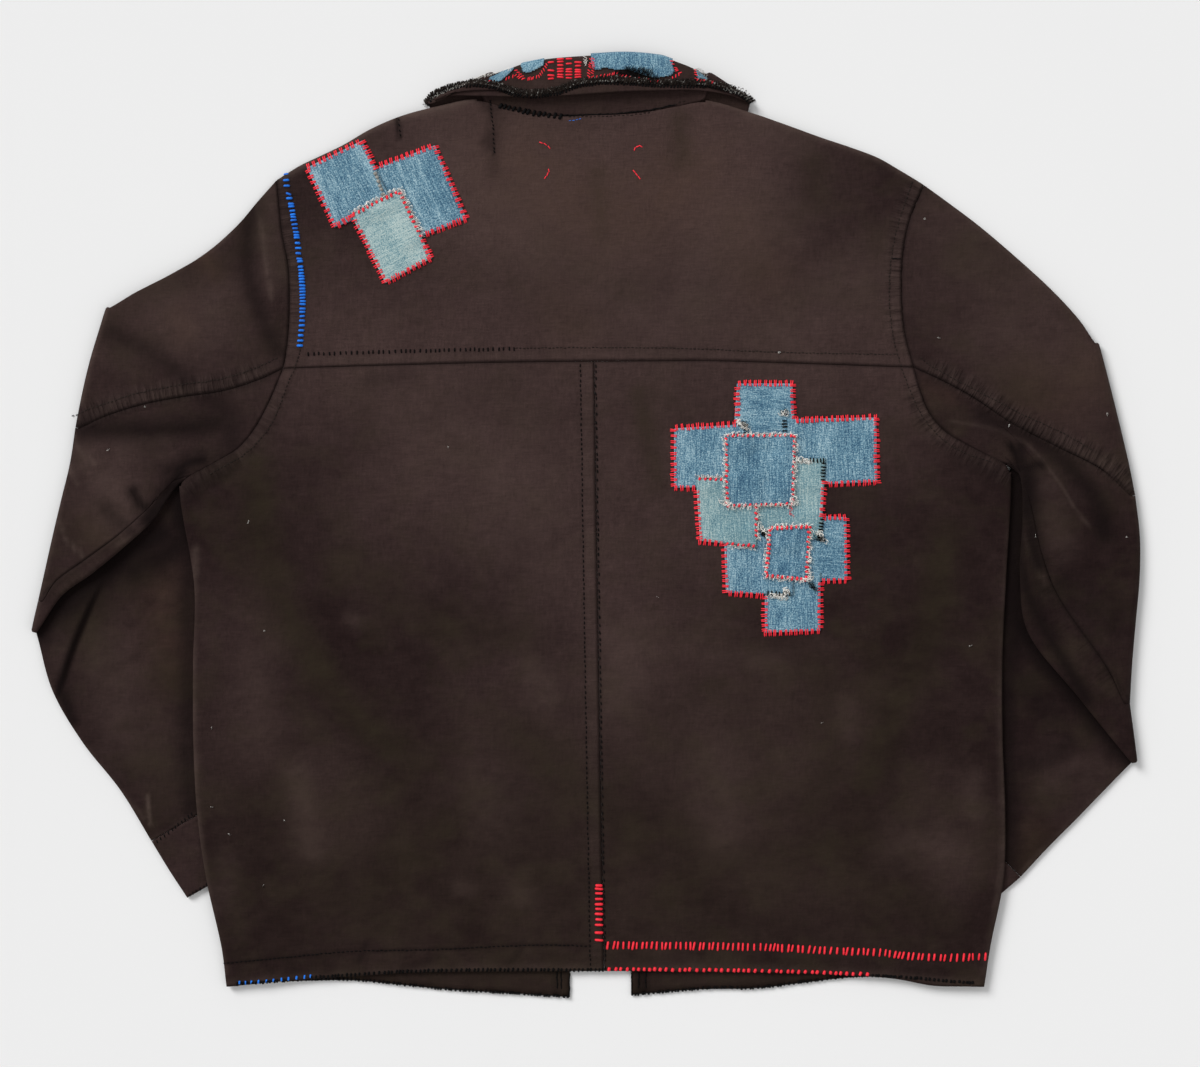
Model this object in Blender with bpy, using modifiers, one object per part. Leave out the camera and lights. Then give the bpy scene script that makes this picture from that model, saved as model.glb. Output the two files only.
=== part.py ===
"""A patched work jacket in dark brown moleskin, laid flat on its front with its sleeves folded under.

The jacket is built from the pieces that a maker would cut: a yoke, two backs, two fronts, two-piece
sleeves with cuffs, a collar in two layers, and denim patches. Every piece is an open sheet with a
Solidify modifier. Tables are in millimetres. X runs to the right from the centre-back line, Y runs up
from the back's hem, and Z is the height above the table that the jacket lies on.
"""

import math

import bmesh
import bpy
from mathutils import Vector
from mathutils.bvhtree import BVHTree

MM = 0.001  # tables are in millimetres and Blender is in metres

# Driving dimensions
CLOTH = 1.4  # moleskin with its turnings
DENIM = 1.0
SEAM_GAP = 0.3  # between neighbouring pieces
LAYER = CLOTH + 0.4  # between the middles of two layers that lie on each other
FLOOR_LAYER = CLOTH / 2  # the middle of the layer that lies on the table
RISE = 2 * LAYER  # how far two layers of cloth lift what lies over them
RISE_MARGIN = 22.0  # the lift is whole this far beyond the layers that cause it
RISE_RAMP = 100.0  # and falls to nothing over this further distance
LOFT = 0.5  # how much further apart the garment's two layers lie than touching cloth
SIDE_TAB = 8.0  # how far the backs and the yoke turn under to their seams
FOLD_ROOM = 1.0  # how much further apart the folded sleeve's outer layers lie than four touching layers
UNDER_LIFT = 0.8  # the share of the upper arm's lift that its lower layer has
ARMHOLE_FADE = 3  # how soon the armhole's curve dies out down the sleeve, as a power of the share left
RIGHT_SIDE_TALLER = 11.0  # the right side seam ends this far above the left one
ROUND_STEPS = 3  # straight steps in each half-round edge
NECK_STEPS = 8  # straight steps in the neckline at the back
PATCH_CELLS = 4
PATCH_CLEAR = 0.4  # between a patch and what it lies on
COLLAR_PATCH_CLEAR = 0.6
CENTRE = Vector((-9.2, 356.7))  # the middle of the laid-out jacket

COLOURS = {
    "moleskin": (0.045, 0.031, 0.027),
    "collar cloth": (0.050, 0.036, 0.030),
    "mid denim": (0.085, 0.205, 0.330),
    "pale denim": (0.250, 0.400, 0.430),
}

# The armholes, from the shoulder down to the underarm. The sixth point is the yoke seam.
YOKE_POINT = 5
MIDDLE_POINT = 8
UNDER_SEAM_POINT = 10
ARMHOLE_LEFT = (
    (-257.6, 634.4),
    (-253.6, 593.6),
    (-248.4, 566.0),
    (-247.2, 533.0),
    (-248.8, 505.0),
    (-252.4, 483.2),
    (-258.4, 468.0),
    (-266.4, 450.4),
    (-277.0, 432.0),
    (-291.2, 416.8),
    (-326.0, 397.6),
    (-337.0, 390.6),
)
ARMHOLE_RIGHT = (
    (261.6, 630.4),
    (251.2, 606.4),
    (244.8, 578.4),
    (243.2, 545.6),
    (245.6, 513.6),
    (253.0, 484.0),
    (258.4, 464.8),
    (264.8, 448.8),
    (276.8, 433.6),
    (292.8, 423.2),
    (324.0, 407.6),
    (334.0, 402.4),
)

# Each sleeve as it lies, seen from above. The upper arm's sections run from the armhole to the fold at
# the elbow, the forearm's two edges from the fold to the cuff seam, and the cuff's from there to the
# opening. The hidden edges lie under the body.
SLEEVE_LEFT = {
    "armhole": ARMHOLE_LEFT,
    "sections": (
        # share of the arm, then x and y of the top edge, the back seam, the middle of the under panel,
        # the under seam and the lower edge, and how far the cloth stands up at the top and at the bottom
        (0.14, -272.0, 618.0, -272.0, 474.0, -299.0, 433.0, -344.0, 390.0, -342.5, 382.0, 0.6, 0.6),
        (0.30, -291.0, 596.0, -300.0, 465.0, -328.0, 422.0, -360.0, 371.0, -355.0, 362.5, 1.0, 1.6),
        (0.47, -315.0, 575.0, -333.0, 460.0, -358.0, 408.0, -384.0, 349.0, -379.0, 340.0, 1.4, 3.2),
        (0.65, -343.0, 558.0, -364.0, 454.0, -387.0, 393.0, -411.0, 329.0, -405.0, 318.5, 1.6, 3.4),
        (0.84, -370.0, 544.0, -393.0, 445.0, -413.0, 378.0, -434.0, 312.0, -430.0, 300.0, 1.2, 2.4),
    ),
    "fold_lift": (0.6, 1.2),
    "fold": (
        (-394.4, 532.8),
        (-408.8, 484.8),
        (-419.2, 435.2),
        (-423.2, 408.0),
        (-433.6, 364.8),
        (-448.8, 296.8),
        (-454.4, 272.0),
    ),
    "fold_shares": (0.374, 0.905),  # where the back seam and the under seam reach the fold
    "forearm_hidden": ((-394.4, 532.8), (-236.8, 172.8)),
    "forearm_seen": (
        (-454.4, 272.0),
        (-441.6, 236.0),
        (-426.4, 201.6),
        (-390.4, 153.6),
        (-364.0, 120.0),
        (-358.4, 104.0),
    ),
    "cuff_hidden": ((-236.8, 172.8), (-208.0, 127.2)),
    "cuff_seen": ((-358.4, 104.0), (-352.0, 92.8), (-329.6, 58.4)),
}
SLEEVE_RIGHT = {
    "armhole": ARMHOLE_RIGHT,
    "sections": (
        (0.14, 280.0, 617.0, 275.0, 474.0, 299.0, 441.0, 337.0, 402.0, 340.0, 394.0, 0.4, 0.2),
        (0.30, 305.0, 598.0, 302.0, 459.0, 338.0, 424.0, 346.0, 375.0, 340.5, 362.0, 1.0, 0.8),
        (0.47, 333.0, 574.0, 333.0, 438.0, 358.0, 396.0, 356.0, 331.0, 338.0, 316.0, 1.4, 2.4),
        (0.65, 361.0, 548.0, 368.0, 420.0, 379.0, 370.0, 370.0, 297.0, 345.0, 270.0, 1.6, 4.2),
        (0.84, 384.0, 523.0, 403.0, 402.0, 408.0, 340.0, 406.0, 245.0, 385.0, 219.0, 1.2, 3.4),
    ),
    "fold_lift": (0.6, 2.0),
    "fold": (
        (401.6, 504.0),
        (413.6, 457.6),
        (430.8, 380.0),
        (434.6, 330.0),
        (428.4, 253.6),
        (426.0, 210.0),
        (432.0, 167.2),
    ),
    "fold_shares": (0.37, 0.86),
    "forearm_hidden": ((401.6, 504.0), (334.0, 408.0), (276.0, 286.0), (239.2, 175.2)),
    "forearm_seen": (
        (432.0, 167.2),
        (398.4, 136.8),
        (374.4, 112.0),
        (352.0, 89.6),
        (339.2, 75.2),
    ),
    "cuff_hidden": ((239.2, 175.2), (201.6, 136.8)),
    "cuff_seen": ((339.2, 75.2), (324.0, 62.4), (300.8, 37.6)),
}
FOREARM_ROWS = (0.0, 0.25, 0.5, 0.75, 1.0)

# The sides of the body, from the hem up to the underarm: height, left side, right side
SIDES = (
    (-12.0, -298.0, 309.6),
    (20.0, -302.0, 314.5),
    (72.0, -313.6, 325.0),
    (113.0, -320.0, 326.8),
    (154.0, -324.0, 325.6),
    (213.0, -324.6, 323.2),
    (290.0, -324.6, 325.0),
    (341.0, -322.0, 329.0),
    (389.0, -335.6, 331.0),
)
# The back's hem and the yoke seam, from the left side to the right side
BACK_HEM = (
    (-298.0, -12.6),
    (-262.0, -9.0),
    (-231.0, -6.4),
    (-142.0, -0.8),
    (4.8, 0.0),
    (150.0, -1.2),
    (232.0, -4.8),
    (262.0, -11.4),
    (309.6, -12.4),
)
YOKE_SEAM = (
    (-252.4, 483.2),
    (-203.0, 484.8),
    (-80.8, 488.0),
    (-3.2, 488.8),
    (93.6, 489.2),
    (185.6, 486.4),
    (253.0, 484.0),
)
CENTRE_BACK = ((4.8, 0.0), (1.0, 218.0), (-3.2, 488.8))
# The fronts' hems, from the side to the opening edge
FRONT_HEM_LEFT = ((-290.0, -10.0), (-203.0, -7.2), (-120.0, -15.2), (-81.0, -17.6), (-22.4, -21.4))
FRONT_HEM_RIGHT = ((301.0, -9.0), (216.0, -4.0), (124.0, -14.4), (99.0, -13.6), (26.4, -19.6))
# The shoulders, from the armhole to the neck
SHOULDER_LEFT = (
    (-257.6, 634.4),
    (-236.8, 647.2),
    (-208.8, 660.0),
    (-172.0, 680.0),
    (-136.0, 691.5),
    (-97.0, 699.0),
)
SHOULDER_RIGHT = (
    (261.6, 630.4),
    (243.2, 641.6),
    (221.6, 653.6),
    (172.8, 670.4),
    (124.4, 687.5),
    (86.0, 698.0),
)
NECK_BACK = (
    (-97.0, 699.0),
    (-63.2, 688.8),
    (-38.4, 685.0),
    (5.6, 686.2),
    (31.2, 687.2),
    (59.2, 692.0),
    (86.0, 698.0),
)
NECK_FRONT_LEFT = ((-22.4, 600.0), (-52.0, 634.0), (-80.0, 668.0), (-97.0, 699.0))
NECK_FRONT_RIGHT = ((26.4, 600.0), (48.0, 634.0), (70.0, 668.0), (86.0, 698.0))
ACROSS = (0.0, 0.05, 0.13, 0.23, 0.35, 0.49, 0.64, 0.81, 1.0)  # shares of a panel's width from its side
SIDE_SHARES = (0.0, 0.08, 0.21, 0.34, 0.48, 0.64, 0.8, 1.0)  # shares of the side's height from the hem

# The collar's sections, from the left front end round the back to the right front end. Each row has
# the neck seam, the roll and the free edge of the leaf, the turn of the leaf's outer face from up to
# down in degrees, and how far the free edge stands off what it lies on.
COLLAR = (
    # neck x, y     roll x, y      edge x, y      turn  stand-off
    (-24.0, 603.0, -15.0, 609.0, -66.0, 566.0, 180, 0.0),
    (-53.0, 636.0, -44.0, 644.0, -96.0, 606.0, 180, 0.0),
    (-80.0, 669.0, -69.0, 677.0, -126.0, 655.0, 180, 0.0),
    (-91.0, 692.0, -82.0, 705.0, -134.0, 686.0, 180, 0.0),
    (-92.0, 699.0, -82.0, 716.6, -135.0, 693.0, 150, 0.1),
    (-92.0, 699.0, -82.0, 716.6, -135.0, 693.0, 110, 0.2),
    (-92.0, 699.0, -82.0, 716.6, -135.0, 693.0, 70, 0.3),
    (-92.0, 699.0, -82.0, 716.6, -134.0, 693.0, 30, 0.4),
    (-86.0, 697.5, -76.5, 719.4, -119.0, 700.0, 10, 0.6),
    (-78.0, 694.5, -69.0, 722.6, -96.0, 700.3, 4, 1.7),
    (-66.0, 690.6, -60.0, 726.0, -76.0, 700.0, 0, 3.0),
    (-38.4, 686.3, -40.0, 730.0, -45.0, 699.6, 0, 4.5),
    (-8.0, 686.8, -9.0, 732.6, -10.0, 701.8, 0, 5.0),
    (22.0, 688.0, 23.0, 734.0, 24.0, 703.9, 0, 5.0),
    (48.0, 691.5, 50.0, 731.6, 55.0, 704.7, 0, 4.5),
    (63.0, 694.8, 68.0, 725.8, 75.0, 705.2, 0, 3.0),
    (72.0, 697.0, 76.0, 722.2, 92.0, 703.5, 4, 1.7),
    (78.0, 698.5, 80.5, 719.4, 108.0, 700.0, 10, 0.6),
    (84.0, 698.0, 86.0, 716.8, 121.0, 693.5, 30, 0.4),
    (84.0, 698.0, 86.0, 716.8, 121.0, 693.5, 70, 0.3),
    (84.0, 698.0, 86.0, 716.8, 121.0, 693.5, 110, 0.2),
    (84.0, 698.0, 86.0, 716.8, 121.0, 693.5, 150, 0.1),
    (81.0, 690.0, 80.0, 704.0, 120.0, 686.0, 180, 0.0),
    (70.0, 669.0, 60.0, 677.0, 116.0, 655.0, 180, 0.0),
    (49.0, 636.0, 40.0, 644.0, 94.0, 606.0, 180, 0.0),
    (28.0, 603.0, 19.0, 609.0, 70.0, 566.0, 180, 0.0),
)
COLLAR_TOP_SHORTER = 7.4  # the top collar stops this far short of the undercollar's edge
COLLAR_ROLL = 0.9  # the undercollar's inner radius at the roll, to its middle
COLLAR_EASE = 1.7  # how many times further apart the two layers lie at the roll
COLLAR_LYING = 15.0  # the turn in degrees from which the roll points straight away from the leaf
COLLAR_STAND_CELLS = 3  # the section's cells up to the roll
COLLAR_LEAF_CELL = 6  # the section's first cell in the leaf

# Denim patches, each with its corners from the upper left round to the lower right and lower left.
# A patch lies on those before it.
SHOULDER_PATCHES = (
    ("mid denim", (-174.0, 645.0), (-130.4, 661.6), (-104.8, 602.4), (-148.0, 586.0)),
    ("mid denim", (-233.6, 644.0), (-188.8, 665.6), (-169.6, 626.4), (-211.2, 596.0)),
    ("pale denim", (-197.6, 605.6), (-159.2, 624.8), (-132.8, 571.2), (-170.4, 551.2)),
)
BACK_PATCHES = (
    ("mid denim", (60.8, 435.2), (112.0, 438.4), (112.0, 388.8), (60.8, 387.2)),
    ("mid denim", (155.2, 440.8), (223.2, 444.0), (224.0, 392.0), (157.6, 388.8)),
    ("mid denim", (111.2, 471.2), (156.0, 471.2), (158.4, 430.4), (112.0, 432.8)),
    ("pale denim", (125.6, 409.6), (182.4, 411.2), (179.2, 348.0), (127.2, 345.6)),
    ("mid denim", (100.8, 343.6), (141.6, 343.6), (144.0, 300.8), (102.4, 303.2)),
    ("mid denim", (166.4, 364.0), (199.2, 364.0), (200.0, 313.6), (166.4, 312.0)),
    ("mid denim", (133.6, 312.0), (178.4, 313.6), (178.4, 272.8), (133.6, 271.2)),
    ("pale denim", (78.4, 394.4), (127.2, 393.6), (127.2, 340.0), (81.6, 344.8)),
    ("mid denim", (102.4, 429.6), (157.6, 429.6), (156.0, 374.4), (103.2, 372.8)),
    ("mid denim", (137.6, 355.2), (169.6, 356.8), (167.2, 313.6), (134.4, 316.8)),
)
# Patches on the collar's leaf: from and to along the collar, in rows of its table, and from and to
# across it, in points of its section, where 4 is the outermost point of the roll and 8 the free edge
COLLAR_PATCHES = (
    (8.1, 9.3, 5.2, 7.2),
    (9.8, 10.9, 4.6, 7.2),
    (12.1, 14.55, 4.2, 7.5),
    (15.6, 16.6, 4.8, 7.2),
)


# Curves and blends


def lerp(a, b, share):
    return a + (b - a) * share


def smoothstep(share):
    share = min(1.0, max(0.0, share))
    return share * share * (3 - 2 * share)


def route(points):
    """A smooth way through points, as a function of the share of its length."""
    points = [Vector(p) for p in points]
    marks = [0.0]
    for a, b in zip(points, points[1:]):
        marks.append(marks[-1] + (b - a).length)

    def slope(i):
        low, high = max(0, i - 1), min(len(points) - 1, i + 1)
        return (points[high] - points[low]) / (marks[high] - marks[low])

    def at(share):
        distance = share * marks[-1]
        i = max(k for k in range(len(marks) - 1) if marks[k] <= distance + 1e-9)
        length = marks[i + 1] - marks[i]
        t = (distance - marks[i]) / length
        start = points[i] * (1 + 2 * t) * (1 - t) ** 2
        end = points[i + 1] * (3 - 2 * t) * t**2
        leave = slope(i) * length * t * (1 - t) ** 2
        arrive = slope(i + 1) * length * t**2 * (t - 1)
        return start + end + leave + arrive

    return at


def table(rows, at, column):
    """The value of a table's column at a place given in its first column."""
    rows = sorted(rows)
    at = min(rows[-1][0], max(rows[0][0], at))
    for low, high in zip(rows, rows[1:]):
        if at <= high[0]:
            return lerp(low[column], high[column], (at - low[0]) / (high[0] - low[0]))
    return rows[-1][column]


def shares_of(points):
    """How far along its length each point of a line is, from 0 to 1."""
    marks = [0.0]
    for a, b in zip(points, points[1:]):
        marks.append(marks[-1] + (Vector(b) - Vector(a)).length)
    return [mark / marks[-1] for mark in marks]


def fill(start, end, first, last, along, fade=1):
    """The points inside four edges: rows from start to end, columns from first to last."""
    across = [lerp(a, b, 0.5) for a, b in zip(shares_of(start), shares_of(end))]
    rows = []
    for share, a, b in zip(along, first, last):
        row = []
        for j, v in enumerate(across):
            ruled = lerp(a, b, v)
            bow_start = start[j] - lerp(start[0], start[-1], v)
            bow_end = end[j] - lerp(end[0], end[-1], v)
            row.append(ruled + bow_start * (1 - share) ** fade + bow_end * share**fade)
        rows.append(row)
    return rows


# Heights above the table


def distance_to(outline, point):
    """How far a point lies outside a convex outline, and 0 inside it."""
    inside, nearest = True, math.inf
    middle = sum((Vector(p) for p in outline), Vector((0, 0))) / len(outline)
    for a, b in zip(outline, outline[1:] + outline[:1]):
        a, b = Vector(a), Vector(b)
        edge = b - a
        share = min(1.0, max(0.0, (point - a).dot(edge) / edge.length_squared))
        nearest = min(nearest, (point - (a + edge * share)).length)
        side = edge.cross(point - a)
        inside = inside and side * edge.cross(middle - a) >= 0
    return 0.0 if inside else nearest


def folded_under(sleeve):
    """The outline of the forearm that lies under the body and the upper arm."""
    return [sleeve["fold"][0], sleeve["cuff_hidden"][-1], sleeve["cuff_seen"][-1], sleeve["fold"][-1]]


def leaf_under(first, last):
    """The outline of the collar's leaf that lies under a front."""
    inner = [COLLAR[first][2:4], COLLAR[last][2:4]]
    return inner + [COLLAR[last][4:6], COLLAR[first][4:6]]


LIFTERS = (
    folded_under(SLEEVE_LEFT),
    folded_under(SLEEVE_RIGHT),
    leaf_under(0, 5),
    leaf_under(len(COLLAR) - 1, len(COLLAR) - 6),
)


def rise(point):
    """How far the layers underneath lift the cloth at a place."""
    away = min(distance_to(outline, Vector(point[:2])) for outline in LIFTERS)
    return RISE * (1 - smoothstep((away - RISE_MARGIN) / RISE_RAMP))


def front_height(point):
    """The middle of the body's lower layer, whose outside faces the table."""
    return FLOOR_LAYER + rise(point)


def back_height(point):
    return front_height(point) + LAYER + LOFT


def at_height(point, height):
    return Vector((point[0], point[1], height))


# Making the objects

collection = None
materials = {}


def material(name, roughness=0.9):
    if name not in materials:
        made = bpy.data.materials.new(name)
        made.use_nodes = True
        shader = made.node_tree.nodes["Principled BSDF"]
        shader.inputs["Base Color"].default_value = (*COLOURS[name], 1)
        shader.inputs["Roughness"].default_value = roughness
        shader.inputs["Metallic"].default_value = 0
        materials[name] = made
    return materials[name]


def sheet(name, rows, finish, keep=None, ring=False, thickness=CLOTH, even=True):
    """A named piece of cloth through rows of points, in from its seams by half the gap."""
    mesh = bmesh.new()
    shift = Vector((CENTRE.x, CENTRE.y, 0))
    points = [[mesh.verts.new((p - shift) * MM) for p in row] for row in rows]
    width = len(rows[0])
    for i in range(len(rows) - 1):
        for j in range(width if ring else width - 1):
            if keep is None or keep(i, j):
                k = (j + 1) % width
                mesh.faces.new((points[i][j], points[i][k], points[i + 1][k], points[i + 1][j]))
    loose = [v for v in mesh.verts if not v.link_faces]
    bmesh.ops.delete(mesh, geom=loose, context="VERTS")
    bmesh.ops.recalc_face_normals(mesh, faces=mesh.faces)
    rim = bmesh.ops.inset_region(
        mesh, faces=mesh.faces, use_boundary=True, use_even_offset=True, thickness=SEAM_GAP / 2 * MM
    )
    bmesh.ops.delete(mesh, geom=rim["faces"], context="FACES")
    data = bpy.data.meshes.new(name)
    mesh.to_mesh(data)
    mesh.free()
    data.materials.append(material(finish))
    piece = bpy.data.objects.new(name, data)
    collection.objects.link(piece)
    wall = piece.modifiers.new("Cloth", "SOLIDIFY")
    wall.thickness = thickness * MM
    wall.offset = 0
    wall.use_even_offset = even
    wall.use_quality_normals = True
    return piece


def half_round(upper, lower, outward, steps=ROUND_STEPS):
    """The points between two layers where the cloth turns over at an edge."""
    centre = (upper + lower) / 2
    radius = (upper - lower).length / 2
    up = (upper - lower).normalized()
    turns = [math.pi * k / steps for k in range(1, steps)]
    return [centre + up * radius * math.cos(t) + outward * radius * math.sin(t) for t in turns]


def inward(points, distance):
    """A row's two ends, brought in along the row by the room that their rounds need."""
    row = [Vector(p) for p in points]
    first = (row[1] - row[0]).normalized() * distance
    last = (row[-2] - row[-1]).normalized() * distance
    row[0], row[-1] = row[0] + first, row[-1] + last
    return row


# Sleeves


def columns_along(line, cuts, bounds):
    """Points along a line, in stretches that end at the given shares and have the given columns."""
    at = route(line)
    marks = [0.0, *cuts, 1.0]
    shares = [0.0]
    for low, high, first, last in zip(marks, marks[1:], bounds, bounds[1:]):
        shares += [lerp(low, high, (k + 1) / (last - first)) for k in range(last - first)]
    return [at(share) for share in shares]


def arm_plan(sleeve):
    """The upper arm's points seen from above, a row for each section from the armhole to the fold."""
    armhole = [Vector(p) for p in sleeve["armhole"]]
    last_column = len(armhole) - 1
    fold_columns = (0, YOKE_POINT, UNDER_SEAM_POINT, last_column)
    fold = columns_along(sleeve["fold"], sleeve["fold_shares"], fold_columns)
    bounds = (0, YOKE_POINT, MIDDLE_POINT, UNDER_SEAM_POINT, last_column)
    shares = [0.0, *(section[0] for section in sleeve["sections"]), 1.0]
    guides = []
    for n, bound in enumerate(bounds):
        inner = [Vector(section[1 + 2 * n : 3 + 2 * n]) for section in sleeve["sections"]]
        guides.append([armhole[bound], *inner, fold[bound]])
    rows = [[] for _ in shares]
    for n, (low, high) in enumerate(zip(bounds, bounds[1:])):
        start, end = armhole[low : high + 1], fold[low : high + 1]
        strip = fill(start, end, guides[n], guides[n + 1], shares, fade=ARMHOLE_FADE)
        for row, part in zip(rows, strip):
            row += part[1:] if row else part
    return rows


def tube_plan(start, hidden, seen, shares):
    """Rows of points from a given first row along two edges, for the forearm and the cuff."""
    across = shares_of(start)
    first, last = route(hidden), route(seen)
    end = [lerp(first(1), last(1), v) for v in across]
    return fill(start, end, [first(s) for s in shares], [last(s) for s in shares], shares)


def ring(row, seen_heights, under_heights):
    """One section of a sleeve: its seen layer, the lower edge, its other layer and the top edge."""
    room = (seen_heights[0] - under_heights[0]) / 2
    plan = inward(row, abs(room) + CLOTH / 2)
    seen = [at_height(p, z) for p, z in zip(plan, seen_heights)]
    under = [at_height(p, z) for p, z in zip(plan, under_heights)]
    low_way = at_height(plan[-1] - plan[-2], 0).normalized()
    top_way = at_height(plan[0] - plan[1], 0).normalized()
    lower_edge = half_round(seen[-1], under[-1], low_way)
    top_edge = half_round(under[0], seen[0], top_way)
    return seen + lower_edge + under[::-1] + top_edge


def arm_section(row, lift):
    """A section of the upper arm, whose back is its upper layer."""
    stand = [lerp(lift[0], lift[1], v) for v in shares_of(row)]
    seen = [back_height(p) + z for p, z in zip(row, stand)]
    under = [front_height(p) + z * UNDER_LIFT for p, z in zip(row, stand)]
    return ring(row, seen, under)


def forearm_section(row):
    """A section of the forearm, whose back lies on the table."""
    return ring(row, [FLOOR_LAYER] * len(row), [FLOOR_LAYER + LAYER] * len(row))


def turn_under(upper, lower, outward):
    """The sections between the upper arm's last one and the forearm's first one, round the fold."""
    sections = []
    for k in range(1, ROUND_STEPS + 1):
        turn = math.pi * k / (ROUND_STEPS + 1)
        section = []
        for a, b, way in zip(upper, lower, outward):
            middle, radius = (a + b) / 2, (a.z - b.z) / 2
            place = middle + way * radius * math.sin(turn)
            place.z = middle.z + radius * math.cos(turn)
            section.append(place)
        sections.append(section)
    return sections


def outward_ways(section, size):
    """The way out of the fold, level, at each point of a section."""
    count = len(section)
    first, last = section[0], section[size - 1]
    along = at_height(last - first, 0).normalized()
    way = Vector((along.y, -along.x, 0))
    if way.x * (first.x - CENTRE.x) < 0:
        way = -way
    return [way] * count


def sleeve_sections(sleeve):
    """All the sections of a sleeve from the armhole to the cuff seam, and of its cuff."""
    plan = arm_plan(sleeve)
    back_in = (LAYER * 3 + LOFT + FOLD_ROOM) / 2 + CLOTH / 2
    size = len(plan[0])
    flat = [at_height(p, 0) for p in plan[-1]]
    way = outward_ways(flat, size)[0]
    settle = Vector((way.x, way.y)) * back_in
    fold = [p - settle for p in plan[-1]]
    plan[-1] = fold
    lifts = [(0.0, 0.0), *(section[-2:] for section in sleeve["sections"]), sleeve["fold_lift"]]
    upper = [arm_section(row, lift) for row, lift in zip(plan, lifts)]
    hidden = [p if k else fold[0] for k, p in enumerate(sleeve["forearm_hidden"])]
    seen = [p if k else fold[-1] for k, p in enumerate(sleeve["forearm_seen"])]
    forearm_plan = tube_plan(fold, hidden, seen, FOREARM_ROWS)
    forearm = [forearm_section(row) for row in forearm_plan]
    turned = turn_under(upper[-1], forearm[0], outward_ways(upper[-1], size))
    cuff_plan = tube_plan(forearm_plan[-1], sleeve["cuff_hidden"], sleeve["cuff_seen"], (0.0, 0.5, 1.0))
    cuff = [forearm_section(row) for row in cuff_plan]
    return upper + turned + forearm, cuff


def make_sleeve(side, sleeve):
    sections, cuff = sleeve_sections(sleeve)
    size = len(sections[0])
    under = [section[YOKE_POINT : UNDER_SEAM_POINT + 1] for section in sections]
    round_the_top = range(UNDER_SEAM_POINT, size + YOKE_POINT + 1)
    upper = [[section[k % size] for k in round_the_top] for section in sections]
    sheet(f"sleeve_{side}_under", under, "moleskin")
    sheet(f"sleeve_{side}_top", upper, "moleskin")
    sheet(f"cuff_{side}", cuff, "moleskin", ring=True)


# Body

ROUND_ROOM = (LAYER + LOFT) / 2 + CLOTH / 2  # what a half-round edge adds beyond the flat cloth


def turned_edge(points, outward):
    """The points that take each column round an edge to the lower layer and on to its seam."""
    columns = []
    for point, way in zip(points, outward):
        upper = at_height(point, back_height(point))
        lower = at_height(point, front_height(point))
        seam = point - Vector(way[:2]) * SIDE_TAB
        column = half_round(upper, lower, way) + [lower, at_height(seam, front_height(seam))]
        columns.append(column)
    return columns


def side_line(side):
    """The body's side from the hem up to the underarm, in from the edge by the room of its round."""
    column = 1 if side == "left" else 2
    sign = -1 if side == "left" else 1
    low, high = SIDES[0][0], SIDES[-1][0] + (0.0 if side == "left" else RIGHT_SIDE_TALLER)
    line = []
    for share in SIDE_SHARES:
        y = lerp(low, high, share)
        line.append(Vector((table(SIDES, y, column) - sign * ROUND_ROOM, y)))
    return line


def outer_line(side, armhole):
    """A back's outer edge: its side, then the armhole up to the yoke seam."""
    line = side_line(side)
    return line + [Vector(p) for p in armhole[UNDER_SEAM_POINT : YOKE_POINT - 1 : -1]]


def make_back(side, armhole):
    sign = -1 if side == "left" else 1
    outer = outer_line(side, armhole)
    side_count = len(SIDE_SHARES)
    centre = route(CENTRE_BACK)
    low, high = CENTRE_BACK[0][1], CENTRE_BACK[-1][1]
    heights = [p.y for p in outer]
    middle = [centre((y - heights[0]) / (heights[-1] - heights[0]) * (high - low) / high) for y in heights]
    bottom = [Vector((x, table(BACK_HEM, x, 1))) for x in (lerp(outer[0].x, middle[0].x, u) for u in ACROSS)]
    top = [Vector((x, table(YOKE_SEAM, x, 1))) for x in (lerp(outer[-1].x, middle[-1].x, u) for u in ACROSS)]
    outer[0], middle[0] = bottom[0], bottom[-1]
    outer[-1], middle[-1] = top[0], top[-1]
    along = shares_of(middle)
    rows = [[at_height(p, back_height(p)) for p in row] for row in fill(bottom, top, outer, middle, along)]
    way = Vector((sign, 0, 0))
    turned = turned_edge(outer, [way] * len(outer))
    tab = len(turned[0])
    rows = [turn[::-1] + row for turn, row in zip(turned, rows)]
    sheet(f"back_{side}", rows, "moleskin", keep=lambda i, j: j >= tab or i < side_count - 1)


def shoulder_ways(line, armhole):
    """The way out over the shoulder at each of its points: along the armhole at its end."""
    along_armhole = (Vector(armhole[0]) - Vector(armhole[1])).normalized()
    return [along_armhole] + [Vector((0, 1))] * (len(ACROSS) - 1)


def shoulder_columns(line, armhole, distance):
    """A shoulder's points, in from its edge by a distance."""
    at = route(line)
    ways = shoulder_ways(line, armhole)
    return [at(share) - way * distance for share, way in zip(ACROSS, ways)]


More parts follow.
